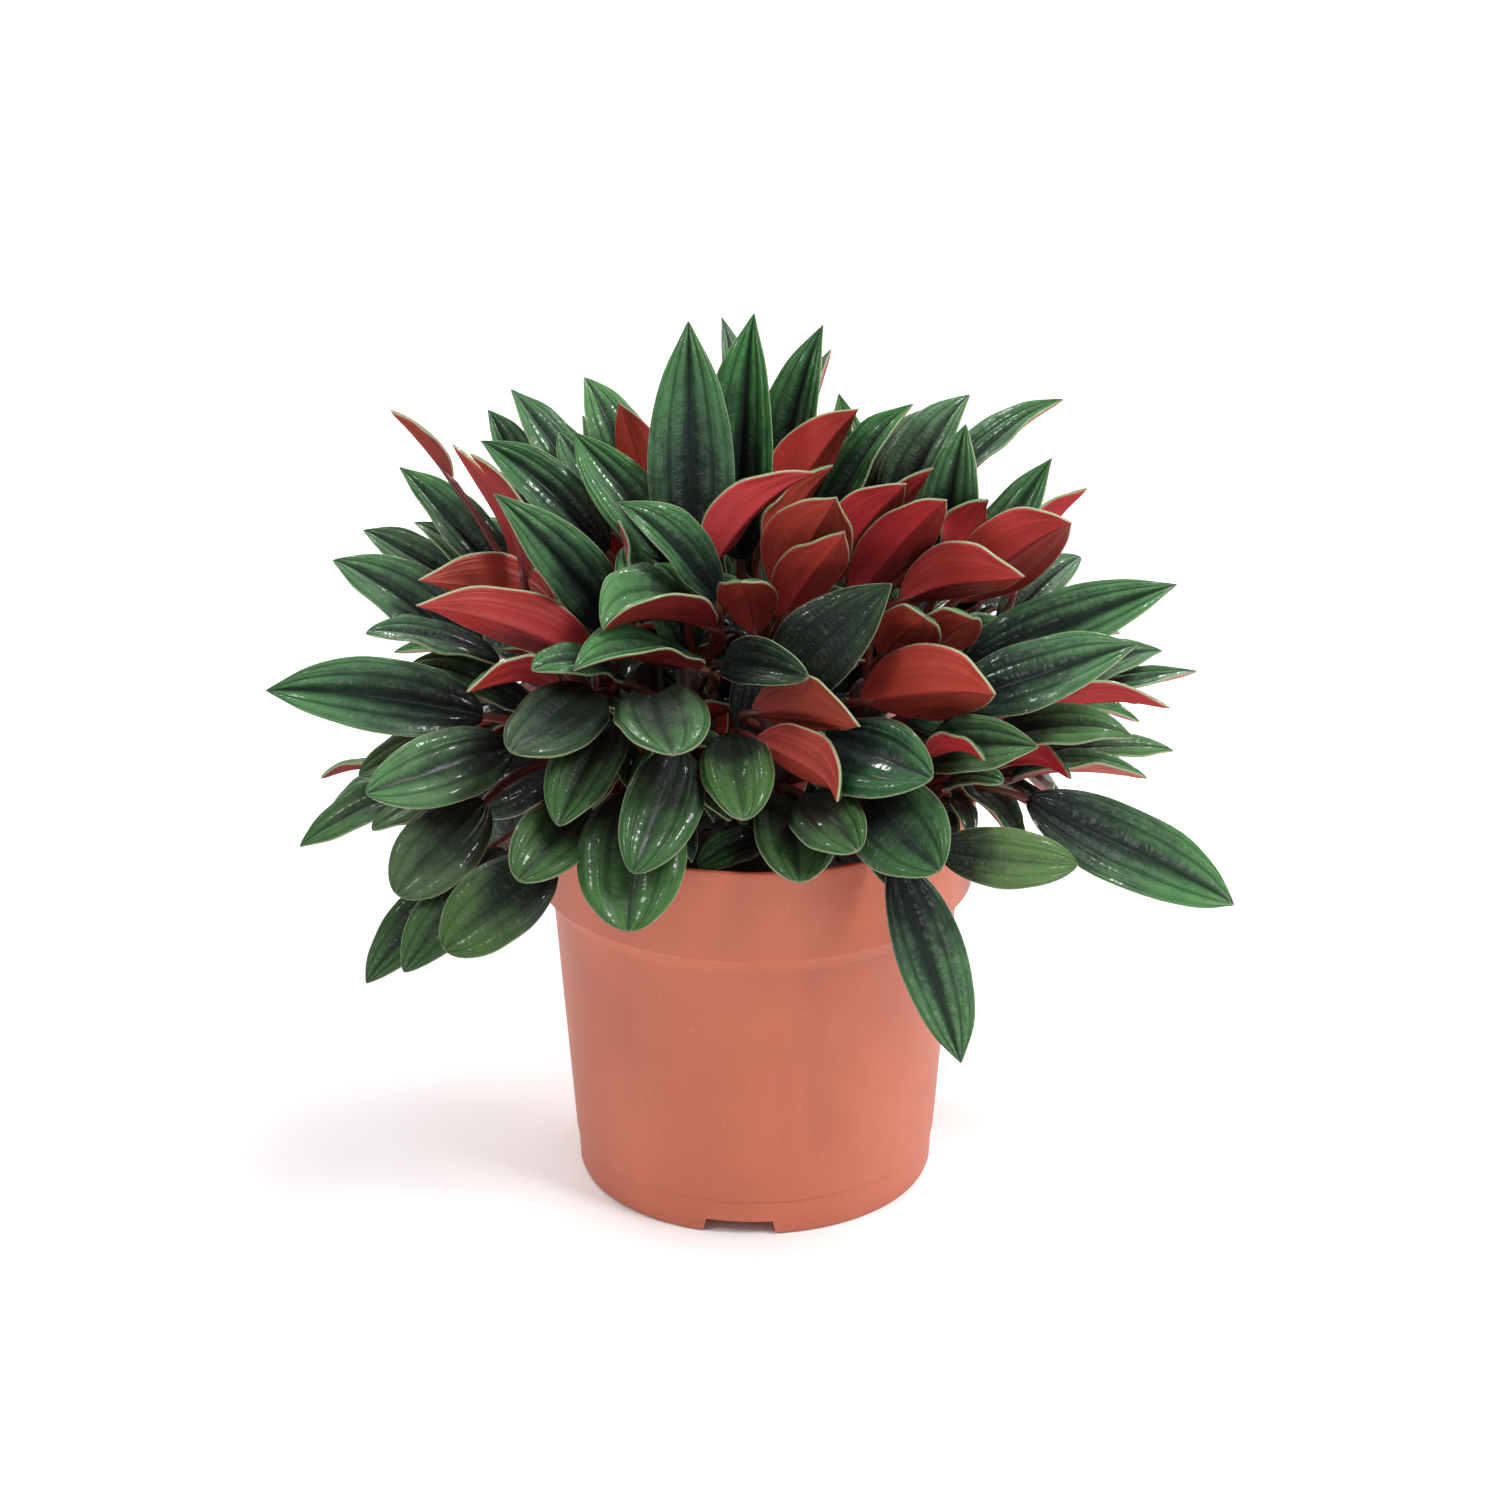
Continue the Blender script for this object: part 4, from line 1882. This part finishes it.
class PEPEROMIA_OT_crowns(bpy.types.Operator):
    """Grow the ten leafy crowns, each one piece of stem, petioles and leaves"""

    bl_idname = "peperomia.crowns"
    bl_label = "Leafy Crowns"

    def execute(self, context):
        look = context.scene.peperomia_leaves
        seen = seen_leaves()
        leaves = [*seen, *hidden_leaves(seen)]
        materials = (upper_face_material(look), underside_material(look), stalk_material(look))
        blank = leaf_blank(materials, BLADE_LINES, BLADE_STEPS)
        small_blank = leaf_blank(materials, SMALL_BLADE_LINES, SMALL_BLADE_STEPS)
        draw = seeded(TIER_SEED + 2)
        for crown in CROWNS:
            pieces = [stem(crown, materials)]
            for leaf in leaves:
                if leaf.crown == crown:
                    pieces.append(grown_leaf(small_blank if leaf.fills_gap else blank, leaf, look, draw))
            piece = join(pieces, f"leafy_{crown}")
            seat(piece, crown)
        for spare in (blank, small_blank):
            bpy.data.objects.remove(spare, do_unlink=True)
        return {"FINISHED"}


class PEPEROMIA_OT_stage(bpy.types.Operator):
    """Lay the pale floor, hang the soft lights and set the camera where the plant was seen from"""

    bl_idname = "peperomia.stage"
    bl_label = "Floor, Lights and Camera"

    def execute(self, context):
        look = context.scene.peperomia_stage
        start_afresh()
        bpy.ops.mesh.primitive_plane_add(size=FLOOR_WIDTH, location=(0, 0, 0))
        floor = bpy.context.object
        floor.name = "floor"
        dress(floor, floor_material(look))
        middle, far = Vector((0, 0, 0.13)), Vector((0, 2.4, 0))
        # Name, power, size, place and aim of each softbox
        boxes = (
            ("key_light", look.key_power, 0.5, (0.75, -0.5, 1.3), middle),
            ("fill_light", look.fill_power, 0.35, (-0.8, -0.7, 1.1), middle),
            ("back_left_light", look.back_power, 0.35, (-0.65, 0.7, 1.2), middle),
            ("back_right_light", look.back_power, 0.35, (0.5, 0.75, 1.15), middle),
            ("floor_light", look.floor_power, 2.2, (0, 2.2, 1.9), far),
        )
        for name, power, size, place, aim in boxes:
            bpy.ops.object.light_add(type="AREA", location=place)
            light = bpy.context.object
            light.name = name
            light.data.energy = power
            light.data.size = size
            light.rotation_euler = (aim - Vector(place)).to_track_quat("-Z", "Y").to_euler()
        world = bpy.data.worlds.new("surround")
        world.use_nodes = True
        backdrop = world.node_tree.nodes["Background"]
        backdrop.inputs["Color"].default_value = SKY_COLOUR
        backdrop.inputs["Strength"].default_value = look.sky
        context.scene.world = world
        rotation = (math.radians(90 - CAMERA_FALL), 0, 0)
        bpy.ops.object.camera_add(location=(0, EYE[1] * MM, EYE[2] * MM), rotation=rotation)
        camera = bpy.context.object
        camera.data.sensor_width = SENSOR_WIDTH
        camera.data.lens = look.focal_length
        camera.data.shift_x = FRAME_SHIFT
        context.scene.camera = camera
        context.scene.view_settings.view_transform = "Standard"
        return {"FINISHED"}


class PEPEROMIA_PT_panel(bpy.types.Panel):
    """Steps that build the plant"""

    bl_label = "Potted Peperomia"
    bl_idname = "PEPEROMIA_PT_panel"
    bl_space_type = "VIEW_3D"
    bl_region_type = "UI"
    bl_category = "Peperomia"

    def draw(self, context):
        for step in STEPS:
            self.layout.operator(step.bl_idname)


STEPS = (PEPEROMIA_OT_pot, PEPEROMIA_OT_soil, PEPEROMIA_OT_crowns, PEPEROMIA_OT_stage)
SETTINGS = {
    "peperomia_pot": PotSettings,
    "peperomia_soil": SoilSettings,
    "peperomia_leaves": LeafSettings,
    "peperomia_stage": StageSettings,
}


def register():
    for group in (*SETTINGS.values(), *STEPS, PEPEROMIA_PT_panel):
        bpy.utils.register_class(group)
    for name, group in SETTINGS.items():
        setattr(bpy.types.Scene, name, PointerProperty(type=group))


def unregister():
    for name in SETTINGS:
        delattr(bpy.types.Scene, name)
    for group in reversed((*SETTINGS.values(), *STEPS, PEPEROMIA_PT_panel)):
        bpy.utils.unregister_class(group)


def main():
    register()
    bpy.ops.peperomia.pot()
    bpy.ops.peperomia.soil()
    bpy.ops.peperomia.crowns()
    bpy.ops.peperomia.stage()


if __name__ == "__main__":
    main()
